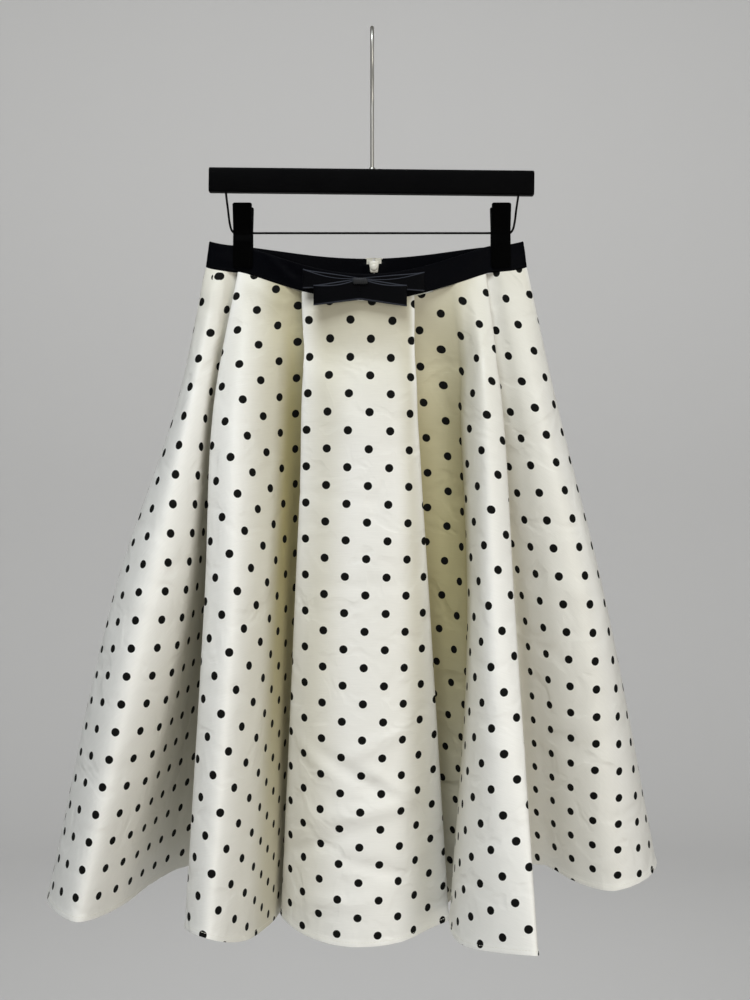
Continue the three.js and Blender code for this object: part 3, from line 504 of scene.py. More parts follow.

# %% [markdown]
# ## Painted shade in the folds
#
# The shade in the folds is painted into the satin's colour. Between close layers of ivory satin
# the light bounces from cloth to cloth and turns warm and dim, and the gloss is lost. Here that warm
# shade is painted on, and so is the shade along the waist below the band. Every fold has an amount of
# painted shade at the four levels: the pleats' inner layers have most of it, and a table names the
# outer folds that lean into a valley. It becomes a number on each point.

# %% Painted fold shade
# Painted shade at the waist, hip, thigh and hem, for folds that lean into a valley or sit below the band
FOLD_PAINTED_SHADE = {
    "left side": (0.3, 0.05, 0.0, 0.0),
    "tube 1 crest": (0.3, 0.0, 0.0, 0.0),
    "tube 1 shoulder": (0.3, 0.05, 0.12, 0.05),
    "valley 1 outer": (0.3, 0.5, 0.4, 0.1),
    "valley 1 floor": (0.5, 0.75, 0.55, 0.2),
    "valley 1 root": (0.6, 0.85, 0.7, 0.3),
    "tube 2 crest": (0.4, 0.05, 0.0, 0.0),
    "tube 2 shoulder": (0.8, 0.5, 0.35, 0.15),
    "valley 2 outer": (0.8, 1.0, 0.95, 0.5),
    "centre left": (0.65, 0.35, 0.35, 0.15),
    "centre crest": (0.65, 0.06, 0.02, 0.0),
    "centre right": (0.65, 0.12, 0.08, 0.0),
    "centre shoulder": (0.65, 0.4, 0.35, 0.2),
    "valley 3 floor": (0.65, 0.85, 0.95, 0.35),
    "valley 3 corner": (0.65, 0.85, 0.95, 0.2),
    "tube 4 edge": (0.6, 0.7, 0.75, 0.15),
    "tube 4 flank": (0.5, 0.4, 0.3, 0.0),
    "tube 4 crest": (0.45, 0.2, 0.0, 0.0),
    "pleat 4 edge": (0.2, 0.15, 0.0, 0.0),
    "pleat 4 under": (0.2, 0.2, 0.1, 0.1),
    "valley 4 turn": (0.2, 0.3, 0.3, 0.2),
    "valley 4 root": (0.2, 0.3, 0.25, 0.1),
    "valley 4 floor": (0.1, 0.15, 0.05, 0.0),
    "tube 5 flank": (0.3, 0.2, 0.12, 0.1),
    "tube 5 crest": (0.3, 0.15, 0.15, 0.08),
    "tube 5 shoulder": (0.3, 0.05, 0.0, 0.0),
}
# Painted shade of a pleat's inner layers at the four levels
LAYER_PAINTED_SHADE = (0.6, 0.9, 0.9, 0.5)


def painted_fold_shades(share, per_fold):
    """The painted shade from 0 to 1 on the cloth's grid. An inner layer n takes the inner layers' painted
    shade times n / 2, and between two folds the shade eases from one to the other as a smooth step."""
    rows = [FOLD_PAINTED_SHADE.get(name, np.array(LAYER_PAINTED_SHADE) * layer / 2)
            for name, layer, *_ in FRONT_FOLDS + BACK_FOLDS]
    tone = np.clip(at_share(np.array([*rows, rows[0]], float), share).T, 0, 1)
    place = np.arange(len(FOLDS) * per_fold + 1) / per_fold
    left = np.minimum(place.astype(int), len(FOLDS) - 1)
    s = place - left
    ease = smooth_step(s)
    return tone[:, left] * (1 - ease) + tone[:, left + 1] * ease


# %% [markdown]
# ## The three panels of the skirt
#
# The front is one wide panel, and the back is two panels with a seam and a zip between them. Each one
# is a closed shell half a millimetre thick. Its last few millimetres are turned up and stitched, so
# the wall is thicker there, with a shallow groove along the stitches.

# %% Cut and hang the panels
CLOTH_THICK = 0.5
HEM = {"depth": 6.0, "fold": 0.6, "edge": 0.4, "stitch": 1.6, "groove": 0.8, "pucker": 0.4, "wave": 1.4}
ROWS_DOWN = 145


def cloth_shares():
    """Shares of the length for the grid's rows: even, with closer rows in the last two per cent."""
    return np.concatenate([np.linspace(0, 0.98, ROWS_DOWN), 1 - 0.02 * np.linspace(0.9, 0, 11)])


SHARES = cloth_shares()
CLOTH = hanging_cloth(SHARES, PER_FOLD)
CLOTH = np.concatenate([CLOTH, CLOTH[:, :1]], axis=1)
PAINTED_SHADES = painted_fold_shades(SHARES, PER_FOLD)
print("cloth grid", CLOTH.shape, "lowest", CLOTH[..., 2].min().round(1), "mm")


def hem_thickness(share):
    """Extra thickness near the hem: a step as high as the fold over the turned-up strip, less a groove
    of a bell's shape along its stitches."""
    left = (1 - share) * CLOTH_LENGTH - HEM["depth"]
    turned = (1 - np.tanh(left / HEM["edge"] / 2)) / 2
    groove = np.exp(-((left + HEM["stitch"]) / HEM["groove"]) ** 2)
    return HEM["fold"] * (turned - 0.8 * groove)


def panel(name, first, last, straight, creases):
    """A skirt panel between two folds, with its creases, its hem and its flat places. The stitches
    pucker the hem in a wave along it. Each point keeps its fold's painted shade in an attribute."""
    start = first * PER_FOLD
    points = CLOTH[:, start:last * PER_FOLD + 1].copy()
    column = int(round(straight * PER_FOLD)) - start
    flat = lay_flat(points, column)
    points = press_creases(points, flat, FOLDS[first:last + 1], creases)
    for end, beside in ((0, 1), (-1, -2)):
        points[:, end] += unit(points[:, beside] - points[:, end]) * (SEAM_GAP / 2)
    normal = out_of(points)
    pucker = 1 + HEM["pucker"] * np.sin(flat[..., :1] / HEM["wave"])
    thick = hem_thickness(SHARES)[:, None, None] * pucker
    outer = points + normal * thick
    inner = points - normal * (CLOTH_THICK + thick)
    piece = wall(name, outer * MM, inner * MM, uv=flat * MM, crease=70)
    # Each point carries its painted shade, which the satin's colour reads
    tone = piece.data.attributes.new("painted_fold_shade", "FLOAT", "POINT")
    shade = PAINTED_SHADES[:, start:last * PER_FOLD + 1].ravel()
    tone.data.foreach_set("value", np.concatenate([shade, shade]).astype(np.float32))
    return piece, points, flat


# node, first and last fold, the fold that hangs straight, creases
PANELS = [
    ("skirt_front", 0, RIGHT_SEAM, FOLDS.index("centre crest") + 0.3, FRONT_CREASES),
    ("skirt_back_right", RIGHT_SEAM, CENTRE_BACK, CENTRE_BACK, BACK_RIGHT_CREASES),
    ("skirt_back_left", CENTRE_BACK, len(FOLDS), CENTRE_BACK, BACK_LEFT_CREASES),
]
panels = []
for node, *folds_and_creases in PANELS:
    piece, points, flat = panel(node + "_cloth", *folds_and_creases)
    panels.append((piece, points))
    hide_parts(node)

# %% [markdown]
# ## Stitches along the hem
#
# The hem is turned up and held by one row of machine stitches. Each stitch is a short thread that dips
# into the cloth at both ends. The hundreds of them along a panel are only one mesh: a small capsule
# whose rings are repeated by adding arrays. The zip's teeth are made by the same helper later.

# %% Stitch rows
STITCH = {"length": 2.6, "gap": 0.7, "thread": 0.22, "arch": 0.16}


def capsules(name, centre, up, radius, **options):
    """Many short rods as one mesh. centre (rods, rings, 3) are their middle lines in mm and up the
    direction that they lie on. The radius follows the root of a sine along each rod."""
    rods, rings = centre.shape[:2]
    ahead = unit(np.gradient(centre, axis=1))
    side = unit(np.cross(ahead, up))
    lift = np.cross(side, ahead)
    swell = radius * np.sqrt(np.sin(np.pi * (0.08 + 0.84 * np.linspace(0, 1, rings))))[:, None]
    angle = np.arange(6) * np.pi / 3
    ring = (
        centre[:, :, None] + lift[:, :, None] * (swell * np.sin(angle))[..., None]
        + side[:, :, None] * (swell * np.cos(angle))[..., None]
    )
    size = 6 * rings
    one = np.concatenate([
        grid_quads(rings, 6, wrap=True),
        [[0, 1, 2, 3], [0, 3, 4, 5]],
        np.array([[3, 2, 1, 0], [5, 4, 3, 0]]) + size - 6,
    ])
    quads = (one + size * np.arange(rods)[:, None, None]).reshape(-1, 4)
    return make_piece(name, ring.reshape(-1, 3) * MM, quads, **options)


def stitch_row(name, line, normal):
    """Stitches along a line of points (n, 3) in mm, lying on a surface with those normals. Their
    middles stand a little proud and their ends dip in."""
    place = run_along(line)
    starts = np.arange(0.4, place[-1] - STITCH["length"], STITCH["length"] + STITCH["gap"])
    along = np.linspace(0, 1, 5)
    at = starts[:, None] + along * STITCH["length"]
    centre, up = read_along(at, place, line), read_along(at, place, normal)
    arch = STITCH["arch"] * np.sin(np.pi * along)
    return capsules(name, centre + up * arch[:, None], up, STITCH["thread"])


def hem_line(points):
    """The line of the hem's stitches on a panel's outer face, with its normals."""
    share = 1 - (HEM["depth"] - HEM["stitch"]) / CLOTH_LENGTH
    row = np.searchsorted(SHARES, share)
    mix = (share - SHARES[row - 1]) / (SHARES[row] - SHARES[row - 1])
    normal = out_of(points)
    line = points[row - 1] * (1 - mix) + points[row] * mix
    return line + normal[row] * (0.1 + HEM["fold"] * 0.2), normal[row]


hem_stitches = []
for piece, points in panels:
    stitches = stitch_row(piece.name.replace("cloth", "hem_stitches"), *hem_line(points))
    hem_stitches.append(stitches)
    print(stitches.name, len(stitches.data.polygons), "faces")

# %% [markdown]
# ## The waistband
#
# The band is a strip of black satin folded double, 27 mm high and 2 mm thick. Its section is a tall
# thin rectangle with round folded edges. Carrying that section along the waist's curve gives a closed
# strip. Where the clips press the front and back together, the inner face stops at the middle plane.

# %% Waistband strips
def band_point(angle, up, side, bulge, sag):
    """Points of the band's outer face. x runs along -cos(angle), y is the waist's depth and z is the
    seam's height plus a share up of the band's height. The band narrows a little towards its top."""
    x = WAIST_X - WAIST_HALF * np.cos(angle)
    narrow = 1 + (BAND_TAPER - 1) * up
    return np.stack([
        WAIST_X + (x - WAIST_X) * narrow,
        side * waist_depth(x, bulge) * narrow,
        seam_height(x, sag) + BAND_HEIGHT * up,
    ], axis=-1)


def band_section(steps=7, straight=14):
    """A closed section (n, 2) of the band as depth inwards and height, both in mm: two straight faces
    and two round folded edges."""
    r = BAND_THICK / 2
    turn = np.linspace(0, np.pi, steps)
    top = np.stack([r - r * np.cos(turn), BAND_HEIGHT - r + r * np.sin(turn)], axis=-1)
    foot = np.stack([r + r * np.cos(turn), r - r * np.sin(turn)], axis=-1)
    rise = np.linspace(r, BAND_HEIGHT - r, straight)[1:-1]
    outside = np.stack([np.zeros_like(rise), rise], axis=-1)
    inside = np.stack([np.full_like(rise, BAND_THICK), rise[::-1]], axis=-1)
    return np.concatenate([outside, top, inside, foot])


def closed_strip(name, grid, uv=None, **options):
    """A closed solid from sections (rows, n, 3) along a path. Each is a loop that runs anticlockwise to
    someone who looks along the path, so that its faces point outwards. Both ends are capped by a fan of
    quads that meet in the section's middle."""
    rows, n = grid.shape[:2]
    quads = [grid_quads(rows, n, wrap=True)]
    points = [grid.reshape(-1, 3)]
    flat = None if uv is None else [uv.reshape(-1, 2)]
    for row, flip in ((0, True), (rows - 1, False)):
        hub = rows * n + (row > 0)
        points.append(grid[row].mean(axis=0, keepdims=True))
        if flat is not None:
            flat.append(uv[row].mean(axis=0, keepdims=True))
        edge = row * n + np.arange(n)
        fan = stacked(np.roll(edge, -2)[::2], edge[1::2], edge[::2], hub)
        quads.append(fan[:, ::-1] if flip else fan)
    both = None if flat is None else np.concatenate(flat)
    return make_piece(name, np.concatenate(points), np.concatenate(quads), cloth_uv=both, **options)


ZIP_X, ZIP_GAP = 2, 2.4
TUCK_REACH, TUCK_TOP, TUCK_DEPTH = 11, 4.6, 2.2
# right of the origin, down from the band's top, lean, length, width, depth
BAND_DENTS = [
    (-128, 6, 0, 34, 6, -0.8),
    (-96, 10, 60, 40, 5, 0.7),
    (-70, 14, 70, 50, 6, -0.5),
    (100, 12, -60, 46, 6, 0.7),
    (126, 8, 0, 34, 6, -0.7),
    (-150, 16, 75, 26, 5, 0.5),
    (148, 14, -75, 24, 5, 0.5),
]


def band_strip(name, start, end, side, columns):
    """A stretch of the waistband between two angles, with its faint dents. Beside the zip the band is
    turned in over the tapes, so its inner face stands proud there, below the tapes' cut ends."""
    bulge, sag = (FRONT_BULGE, FRONT_SAG) if side < 0 else (BACK_BULGE, BACK_SAG)
    section = band_section()
    up = section[:, 1] / BAND_HEIGHT
    angle = np.linspace(start, end, columns + 1)[:, None]
    point = band_point(angle, up, side, bulge, sag)
    nudge = 1e-3
    ahead = band_point(np.minimum(angle + nudge, np.pi), up, side, bulge, sag)
    behind = band_point(np.maximum(angle - nudge, 0), up, side, bulge, sag)
    tangent = (ahead - behind) * np.sign(end - start)
    outward = unit(stacked(tangent[..., 1], -tangent[..., 0], 0))
    dent = np.zeros(point.shape[:2])
    for right, down, lean, length, width, depth in BAND_DENTS:
        turn = np.radians(lean)
        dx, dy = point[..., 0] - right, BAND_HEIGHT - section[:, 1] - down
        along = dx * np.sin(turn) + dy * np.cos(turn)
        across = dx * np.cos(turn) - dy * np.sin(turn)
        dent += crease_height(across, along, length, width, depth)
    lining = 0
    if side > 0:
        near = np.clip((TUCK_REACH - np.abs(point[..., 0] - ZIP_X)) / 2, 0, 1)
        under = np.clip((BAND_HEIGHT - TUCK_TOP - section[:, 1]) / 1.5, 0, 1)
        lining = TUCK_DEPTH * near * under * np.clip(section[:, 0] - BAND_THICK / 2, 0, 1)
    grid = point + outward * (np.minimum(dent, 0.6) - section[:, 0] - lining)[..., None]
    grid[..., 1] = side * np.maximum(side * grid[..., 1], SEAM_GAP / 2)
    uv = stacked(run_along(point[:, 0])[:, None], run_along(section))
    piece = closed_strip(name, grid * MM, uv=uv * MM, crease=60)
    return piece


# %% Waistband pieces
zip_angle = np.arccos((WAIST_X - ZIP_X) / WAIST_HALF)
zip_half = ZIP_GAP / 2 / WAIST_HALF
# node, angles at the start and the end, side, columns
BAND_PIECES = [
    ("waistband_front", 0, np.pi, -1, 180),
    ("waistband_back_right", np.pi, zip_angle + zip_half, 1, 90),
    ("waistband_back_left", zip_angle - zip_half, 0, 1, 90),
]
waistband = []
for node, *stretch in BAND_PIECES:
    strip = band_strip(node + "_satin", *stretch)
    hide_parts(node)
    waistband.append(strip)
    print(strip.name, len(strip.data.polygons), "faces")

# %% [markdown]
# ## Round wires
#
# The hanger's hook and wire, the slider's bail and the tab's yoke are all a round section carried along
# a path that lies in one plane, so the plane's normal and its cross product with the path's direction
# give every ring its axes.

# %% Tube helper
def tube(name, path, radius, across, sides=16, body="skirt"):
    """A closed rod along a path (n, 3) in mm that lies in a plane with normal across. Its ends are
    round: the last rings shrink as a quarter circle."""
    path, across = np.asarray(path, float), np.asarray(across, float)
    ahead = unit(np.gradient(path, axis=0))
    turn = np.linspace(0, np.pi / 2, 5)[:-1]
    back = radius * np.cos(turn)[:, None]
    shrink = np.maximum(radius * np.sin(turn), 0.02)
    up = np.cross(across, ahead)
    up = np.concatenate([np.repeat(up[:1], 4, 0), up, np.repeat(up[-1:], 4, 0)])[:, None]
    centre = np.concatenate([path[0] - ahead[0] * back, path, (path[-1] + ahead[-1] * back)[::-1]])
    size = np.concatenate([shrink, np.full(len(path), float(radius)), shrink[::-1]])[:, None]
    angle = np.arange(sides) * 2 * np.pi / sides
    ring = (
        centre[:, None] + up * (size * np.sin(angle))[..., None]
        + across * (size * np.cos(angle))[..., None]
    )
    return closed_strip(name, ring * MM, body=body)


def circle(centre, radius, start, end, steps=16):
    """Points of an arc in the YZ plane, angles in degrees from +Y."""
    angle = np.radians(np.linspace(start, end, steps))
    return stacked(centre[0], centre[1] + radius * np.cos(angle), centre[2] + radius * np.sin(angle))


# %% [markdown]
# ## The zip at the centre back
#
# The zip is a concealed one in cream: two woven tapes behind the seam, a coil between them, and a small
# enamelled slider at the top. Its round back shows over the front of the band. The coil is a row of
# short rods. The tab hangs outside on its bail, and is the one piece of this object that swings.

# %% Zip tapes
ZIP_TAPE, ZIP_TAPE_THICK, ZIP_LENGTH, SLIDER_Z = 6.5, 1.0, 0.27, -243.5
TEETH = {"down": 7, "pitch": 1.1, "reach": 1.7, "shift": 0.25, "slant": 0.15, "arch": 0.35, "rod": 0.5}
FRAY = {"strands": 90, "spread": 8.5, "depth": 0.5, "down": 1.2, "thread": 0.16}
PULL_WIRE = 0.6
BACKWARDS = np.array([0.0, 1, 0])


def zip_line():
    """The outer face's centre-back line from the band's top to the zip's foot, in mm."""
    band = band_point(zip_angle, np.linspace(1, 0.02, 8), 1, BACK_BULGE, BACK_SAG)
    rows = SHARES <= ZIP_LENGTH
    return np.concatenate([band, CLOTH[rows, CENTRE_BACK * PER_FOLD]])


def tape(name, line, left, right, depth):
    """A woven tape along the zip's line between two distances from its centre, with a thicker cord at
    its inner edge."""
    across = np.linspace(right, left, 12)
    cord = 0.25 * np.exp(-((np.abs(across) - ZIP_GAP / 2 - 0.6) / 0.5) ** 2)
    outer = stacked(ZIP_X + across, line[:, 1:2] - depth, line[:, 2:])
    inner = outer - BACKWARDS * (ZIP_TAPE_THICK + cord)[:, None]
    uv = stacked(across, -run_along(line)[:, None])
    piece = wall(name, outer * MM, inner * MM, uv=uv * MM)
    return piece


zip_path = zip_line()
tape_face = BAND_THICK + 2 * SEAM_GAP
tapes = []
for node, left in (("zip_tape_left", -ZIP_GAP / 2 - ZIP_TAPE), ("zip_tape_right", ZIP_GAP / 2)):
    tapes.append(tape(node + "_weave", zip_path, left, left + ZIP_TAPE, tape_face))
    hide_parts(node)
print("zip tapes:", round(run_along(zip_path)[-1]), "mm long")

# %% Coil and frayed ends
below = zip_path[zip_path[:, 2] < SLIDER_Z - TEETH["down"]]
length = run_along(below)
tooth_at = np.arange(0, length[-1], TEETH["pitch"])
tooth_line = read_along(tooth_at, length, below)
reach = np.linspace(-1, 1, 7)
lean = np.where(np.arange(len(tooth_at)) % 2, 1.0, -1.0)[:, None]
tooth_depth = tape_face + ZIP_TAPE_THICK + TEETH["rod"] + TEETH["arch"] * (2 - reach**2)
teeth = stacked(
    ZIP_X + reach * TEETH["reach"] + lean * TEETH["shift"],
    tooth_line[:, 1:2] - tooth_depth,
    tooth_line[:, 2:3] + TEETH["slant"] * lean * reach,
)
coil = capsules("zip_coil", teeth, BACKWARDS, TEETH["rod"])
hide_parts("zip_chain")

# The cut ends of the tapes fray into short loose threads above the slider. Each one leans by chance,
# and a long one droops.
chance = np.random.default_rng(7)
strands = FRAY["strands"]
root = stacked(
    ZIP_X + chance.uniform(-FRAY["spread"], FRAY["spread"], strands),
    zip_path[0, 1] - tape_face - FRAY["depth"] + chance.uniform(-FRAY["depth"], FRAY["depth"], strands),
    zip_path[0, 2] - FRAY["down"],
)
bend = np.stack([chance.normal(0, 1.1, strands), chance.normal(-0.4, 0.6, strands)], axis=-1)
rise = chance.uniform(1.2, 3.0, (strands, 1))
droop = np.where(rise > 2, 2.2, 0)
grow = np.linspace(0, 1, 5)
fray = root[:, None] + stacked(bend[:, :1] * grow**2, bend[:, 1:] * grow**2, rise * grow - droop * grow**3)
frayed = capsules("zip_frayed_ends", fray, BACKWARDS, FRAY["thread"])
print("zip teeth:", len(tooth_at), "loose threads:", strands)

# %% Slider and tab
def lozenge(name, centre, heights, half_widths, half_depths, power=2.6, body="skirt"):
    """A rounded solid standing on Z: at each height its section is a superellipse of that half width
    and half depth."""
    angle = np.linspace(0, 2 * np.pi, 28, endpoint=False)
    across, deep = (np.sign(v) * np.abs(v) ** (2 / power) for v in (np.cos(angle), np.sin(angle)))
    ring = stacked(
        centre[0] + np.asarray(half_widths)[:, None] * across,
        centre[1] + np.asarray(half_depths)[:, None] * deep,
        centre[2] + np.asarray(heights, float)[:, None],
    )
    return closed_strip(name, ring[::-1] * MM, body=body)


slider_face = band_point(zip_angle, 0.25, 1, BACK_BULGE, BACK_SAG)[1]
body_y = slider_face - tape_face - ZIP_TAPE_THICK - SEAM_GAP - 1.5
slider_body = lozenge("zip_slider_body", (ZIP_X, body_y, SLIDER_Z),
                      [-6, -5.7, -4.5, -1, 3, 5, 5.7, 6], [3.2, 3.8, 4.2, 4.5, 5.2, 5.4, 5.1, 4.3],
                      [0.7, 1.2, 1.5, 1.6, 1.6, 1.5, 1.2, 0.7])
turn = np.linspace(-np.pi / 2, np.pi / 2, 9)
slider_knob = lozenge("zip_slider_knob", (ZIP_X, body_y - 1.4, SLIDER_Z - 0.6),
                      3.6 * np.sin(turn), np.maximum(3.7 * np.cos(turn), 0.05),
                      np.maximum(1.3 * np.cos(turn) ** 0.7, 0.05), power=2)
plate_y = slider_face + SEAM_GAP + 0.7
slider_post = lozenge("zip_slider_post", (ZIP_X, (body_y + plate_y) / 2, SLIDER_Z),
                      [-3, -2.6, 2.6, 3], [0.5, 0.6, 0.6, 0.5], [(plate_y - body_y) / 2] * 4, power=6)
slider_plate = lozenge("zip_slider_plate", (ZIP_X, plate_y, SLIDER_Z),
                       [-5, -4.6, -3, 3, 4.6, 5], [1.4, 2.1, 2.4, 2.5, 2.2, 1.5],
                       [0.25, 0.45, 0.5, 0.5, 0.45, 0.25], power=3)
bail = [(ZIP_X, plate_y + out, SLIDER_Z + up) for out, up in (
    (0.2, -2.6), (1.9, -2.6), (3.1, -1.4), (3.1, 1.4), (1.9, 2.6), (0.2, 2.6))]
slider_bail = tube("zip_slider_bail", smooth_through(bail, 6), PULL_WIRE, (1, 0, 0), sides=10)
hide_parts("zip_slider")
slider_pieces = [slider_body, slider_knob, slider_post, slider_plate, slider_bail]

pull_y = plate_y + 1.6
pull_top = SLIDER_Z - 5
yoke = [(ZIP_X + out, pull_y, z) for out, z in (
    (-2.2, pull_top - 1.5), (-2.3, SLIDER_Z - 1.6), (-1.7, SLIDER_Z), (0, SLIDER_Z + 0.05),
    (1.7, SLIDER_Z), (2.3, SLIDER_Z - 1.6), (2.2, pull_top - 1.5))]
pull_yoke = tube("zip_pull_yoke", smooth_through(yoke, 6), PULL_WIRE, (0, 1, 0), sides=10, body="zip_pull")
pull_drop = lozenge("zip_pull_drop", (ZIP_X, pull_y, pull_top - 16),
                    [0, 0.15, 0.6, 1.4, 2.6, 4, 6, 9, 12, 14.4, 15.4, 15.9, 16],
                    [0.6, 1.3, 2.1, 2.8, 3.2, 3.25, 3.2, 3.05, 2.95, 2.9, 2.7, 2.3, 1.6],
                    [0.2, 0.35, 0.5, 0.6, 0.6, 0.55, 0.5, 0.5, 0.5, 0.55, 0.55, 0.45, 0.25],
                    power=3, body="zip_pull")
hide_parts("zip_pull")
print("slider at y", round(float(body_y), 1), "mm")

# %% [markdown]
# ## The flat bow
#
# A tailor makes this bow from black satin ribbon: two pairs of flat loops, one behind the other, and a
# narrow strip wrapped round their middle. Each loop runs out along the band, turns at its tip and comes
# back in front, where its top edge droops a little, so the loop stands open. The ribbon's section is a
# thin rectangle with bound edges, carried along that path.

# %% Ribbon loops and knot
BOW_X = -12
RIBBON_THICK, RIBBON_WIDTH = 0.9, 20
# name, side, reach, tip's top and foot, root's top and foot, depths of both runs, droop
BOW_LOOPS = [
    ("rear_loop_left", -1, 58, (-253, -272), (-262, -270), (0.5, 3.6), 4.2),
    ("rear_loop_right", 1, 65, (-256, -275), (-262, -270), (0.5, 3.6), 4.4),
    ("front_loop_left", -1, 47, (-270, -290), (-263, -284), (5, 9), 3.4),
    ("front_loop_right", 1, 47, (-270, -291), (-263, -284), (5, 9), 3.2),
]
SELVEDGE = {"rise": 0.12, "width": 0.06}
bow_face = -waist_depth(BOW_X, FRONT_BULGE)


def ribbon_section(steps=7, straight=9):
    """The ribbon's closed section: each point's depth out of the middle plane, its share of the width,
    and how far it stands beyond that share on the half-round edges. The bound edges are a little
    thicker, by a bell of the distance to them."""
    half = RIBBON_THICK / 2
    turn = np.linspace(0, np.pi, steps)
    rise = np.linspace(0, 1, straight + 2)[1:-1]
    face, level = np.ones(straight), np.zeros(straight)
    depth = half * np.concatenate([face, np.cos(turn), -face, -np.cos(turn)])
    share = np.concatenate([rise, np.ones(steps), rise[::-1], np.zeros(steps)])
    beyond = half * np.concatenate([level, np.sin(turn), level, -np.sin(turn)])
    to_edge = np.minimum(share, 1 - share)
    bound = SELVEDGE["rise"] * np.exp(-(to_edge / SELVEDGE["width"]) ** 2) * np.sign(depth)
    return depth + bound, share, beyond


def ribbon_loop(name, side, reach, tip, root, runs, droop, steps=72):
    """A ribbon loop. Its plan path goes out as sin(angle)^0.55 and forward as (1 - cos(angle)) / 2, so
    it is flat with a tight turn at the tip. The edges go from root to tip heights, and the front run's
    top edge droops by a half sine of its place."""
    angle = np.linspace(0, np.pi, steps + 1)
    out = np.sin(angle) ** 0.55
    front = (1 - np.cos(angle)) / 2
    x = BOW_X + side * (0.2 + (reach - 0.2) * out)
    y = bow_face - (runs[0] + (runs[1] - runs[0]) * front) - RIBBON_THICK / 2
    plan = np.stack([x, y], axis=-1)
    if side < 0:
        plan, out, front = plan[::-1], out[::-1], front[::-1]
    along = np.gradient(plan, axis=0)
    normal = unit(np.stack([along[:, 1], -along[:, 0]], axis=-1))
    top = root[0] + (tip[0] - root[0]) * out - droop * front * np.sin(np.pi * out) ** 0.8
    foot = root[1] + (tip[1] - root[1]) * out
    depth, share, beyond = ribbon_section()
    height = foot[:, None] + (top - foot)[:, None] * share + beyond
    offset = normal[:, None] * depth[:, None]
    grid = np.concatenate([plan[:, None] + offset, height[..., None]], axis=-1)
    uv = stacked(run_along(plan)[:, None], share * RIBBON_WIDTH)
    piece = closed_strip("bow_" + name + "_ribbon", grid * MM, uv=uv * MM, crease=80)
    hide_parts("bow_" + name)
    return piece


bow = [ribbon_loop(*row) for row in BOW_LOOPS]

# The knot is a narrow strip wound round the middle. Its section is an oval that swells along the knot
# by a cosine for each small rib, shrinks at both ends and is a little uneven.
KNOT = {"half_length": 7.5, "fade": 7.9, "half_depth": 1.35, "half_height": 3.3, "rib": 1.9,
        "rib_depth": 0.07, "uneven": 0.04, "behind": 1.2, "z": -266.2}
knot_front = bow_face - BOW_LOOPS[-1][5][1] - RIBBON_THICK - SEAM_GAP
knot_x = np.linspace(-KNOT["half_length"], KNOT["half_length"], 46)[:, None]
turn = np.linspace(0, 2 * np.pi, 30, endpoint=False)
ribs = 1 + KNOT["rib_depth"] * np.cos(knot_x * 2 * np.pi / KNOT["rib"])
swell = ribs * np.sqrt(np.clip(1 - (np.abs(knot_x) / KNOT["fade"]) ** 12, 0.15, 1))
uneven = 1 + KNOT["uneven"] * np.sin(0.8 * knot_x)
knot_grid = stacked(
    BOW_X + knot_x,
    knot_front - KNOT["behind"] - KNOT["half_depth"] * swell * np.cos(turn),
    KNOT["z"] + KNOT["half_height"] * swell * np.sin(turn) * uneven,
)
uv = stacked(knot_x, turn * 3)
knot = closed_strip("bow_knot_ribbon", knot_grid * MM, uv=uv * MM, crease=80)
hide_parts("bow_knot")
bow.append(knot)
print("bow faces:", sum(len(piece.data.polygons) for piece in bow))

# %% [markdown]
# ## The clip hanger
#
# The hanger is a flat wooden bar in matt black, a nickel-plated hook, and a coated wire under the bar on
# which two spring clips slide. The bar is a rounded section carried across with shrinking ends. The
# wires are tubes. Each jaw is a plate that follows its bent outline, with rounded corners.

# %% Hook
HOOK_WIRE, HOOK_RADIUS = 2, 22
BAR = {"left": -169.5, "right": 168.5, "height": 25.5, "depth": 12, "top": -144.5, "tilt": 0.6,
       "ease": 1.6, "corner": 2.2}
WIRE_RADIUS, RAIL_Z, RAIL_HALF, LEG_TOP = 1.15, -210.5, 143, 152
hook_middle = HOOK_WIRE - HOOK_RADIUS
hook_arc = circle((0, 0, hook_middle), HOOK_RADIUS, 0, 180, 9)
hook_points = np.concatenate([
    [(0, HOOK_RADIUS + 1, hook_middle - 26)], hook_arc,
    [(0, -HOOK_RADIUS * 0.86, hook_middle - 18), (0, -HOOK_RADIUS * 0.36, hook_middle - 33),
     (0, 0, hook_middle - 50), (0, 0, hook_middle - 70), (0, 0, BAR["top"] + SEAM_GAP)],
])
hook = tube("hanger_hook_wire", smooth_through(hook_points, 8), HOOK_WIRE, (1, 0, 0), sides=24)
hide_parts("hanger_hook")
ferrule_angle = np.linspace(0, 2 * np.pi, 28, endpoint=False)
ferrule_profile = np.array([(2.05, 2.2), (2.6, 2.1), (3.0, 1.6), (3.2, 0.8), (3.3, 0.0), (3.3, -0.4)])
ferrule_grid = stacked(
    ferrule_profile[:, :1] * np.cos(ferrule_angle), ferrule_profile[:, :1] * np.sin(ferrule_angle),
    BAR["top"] + ferrule_profile[:, 1:])
ferrule = closed_strip("hanger_ferrule", ferrule_grid * MM)
for piece in (hook, ferrule):
    print(piece.name, len(piece.data.polygons), "faces")

# %% Bar and wire
def rounded_section(depth, height, radius, steps=6):
    """A closed rounded rectangle (n, 2): four quarter circles of that radius, joined by straights."""
    turn = np.linspace(0, np.pi / 2, steps)
    corners = []
    for start, sx, sz in ((0, 1, 1), (1, -1, 1), (2, -1, -1), (3, 1, -1)):
        angle = turn + start * np.pi / 2
        corners.append(np.stack([
            sx * (depth / 2 - radius) + radius * np.cos(angle),
            sz * (height / 2 - radius) + radius * np.sin(angle)], axis=-1))
    return np.concatenate(corners)


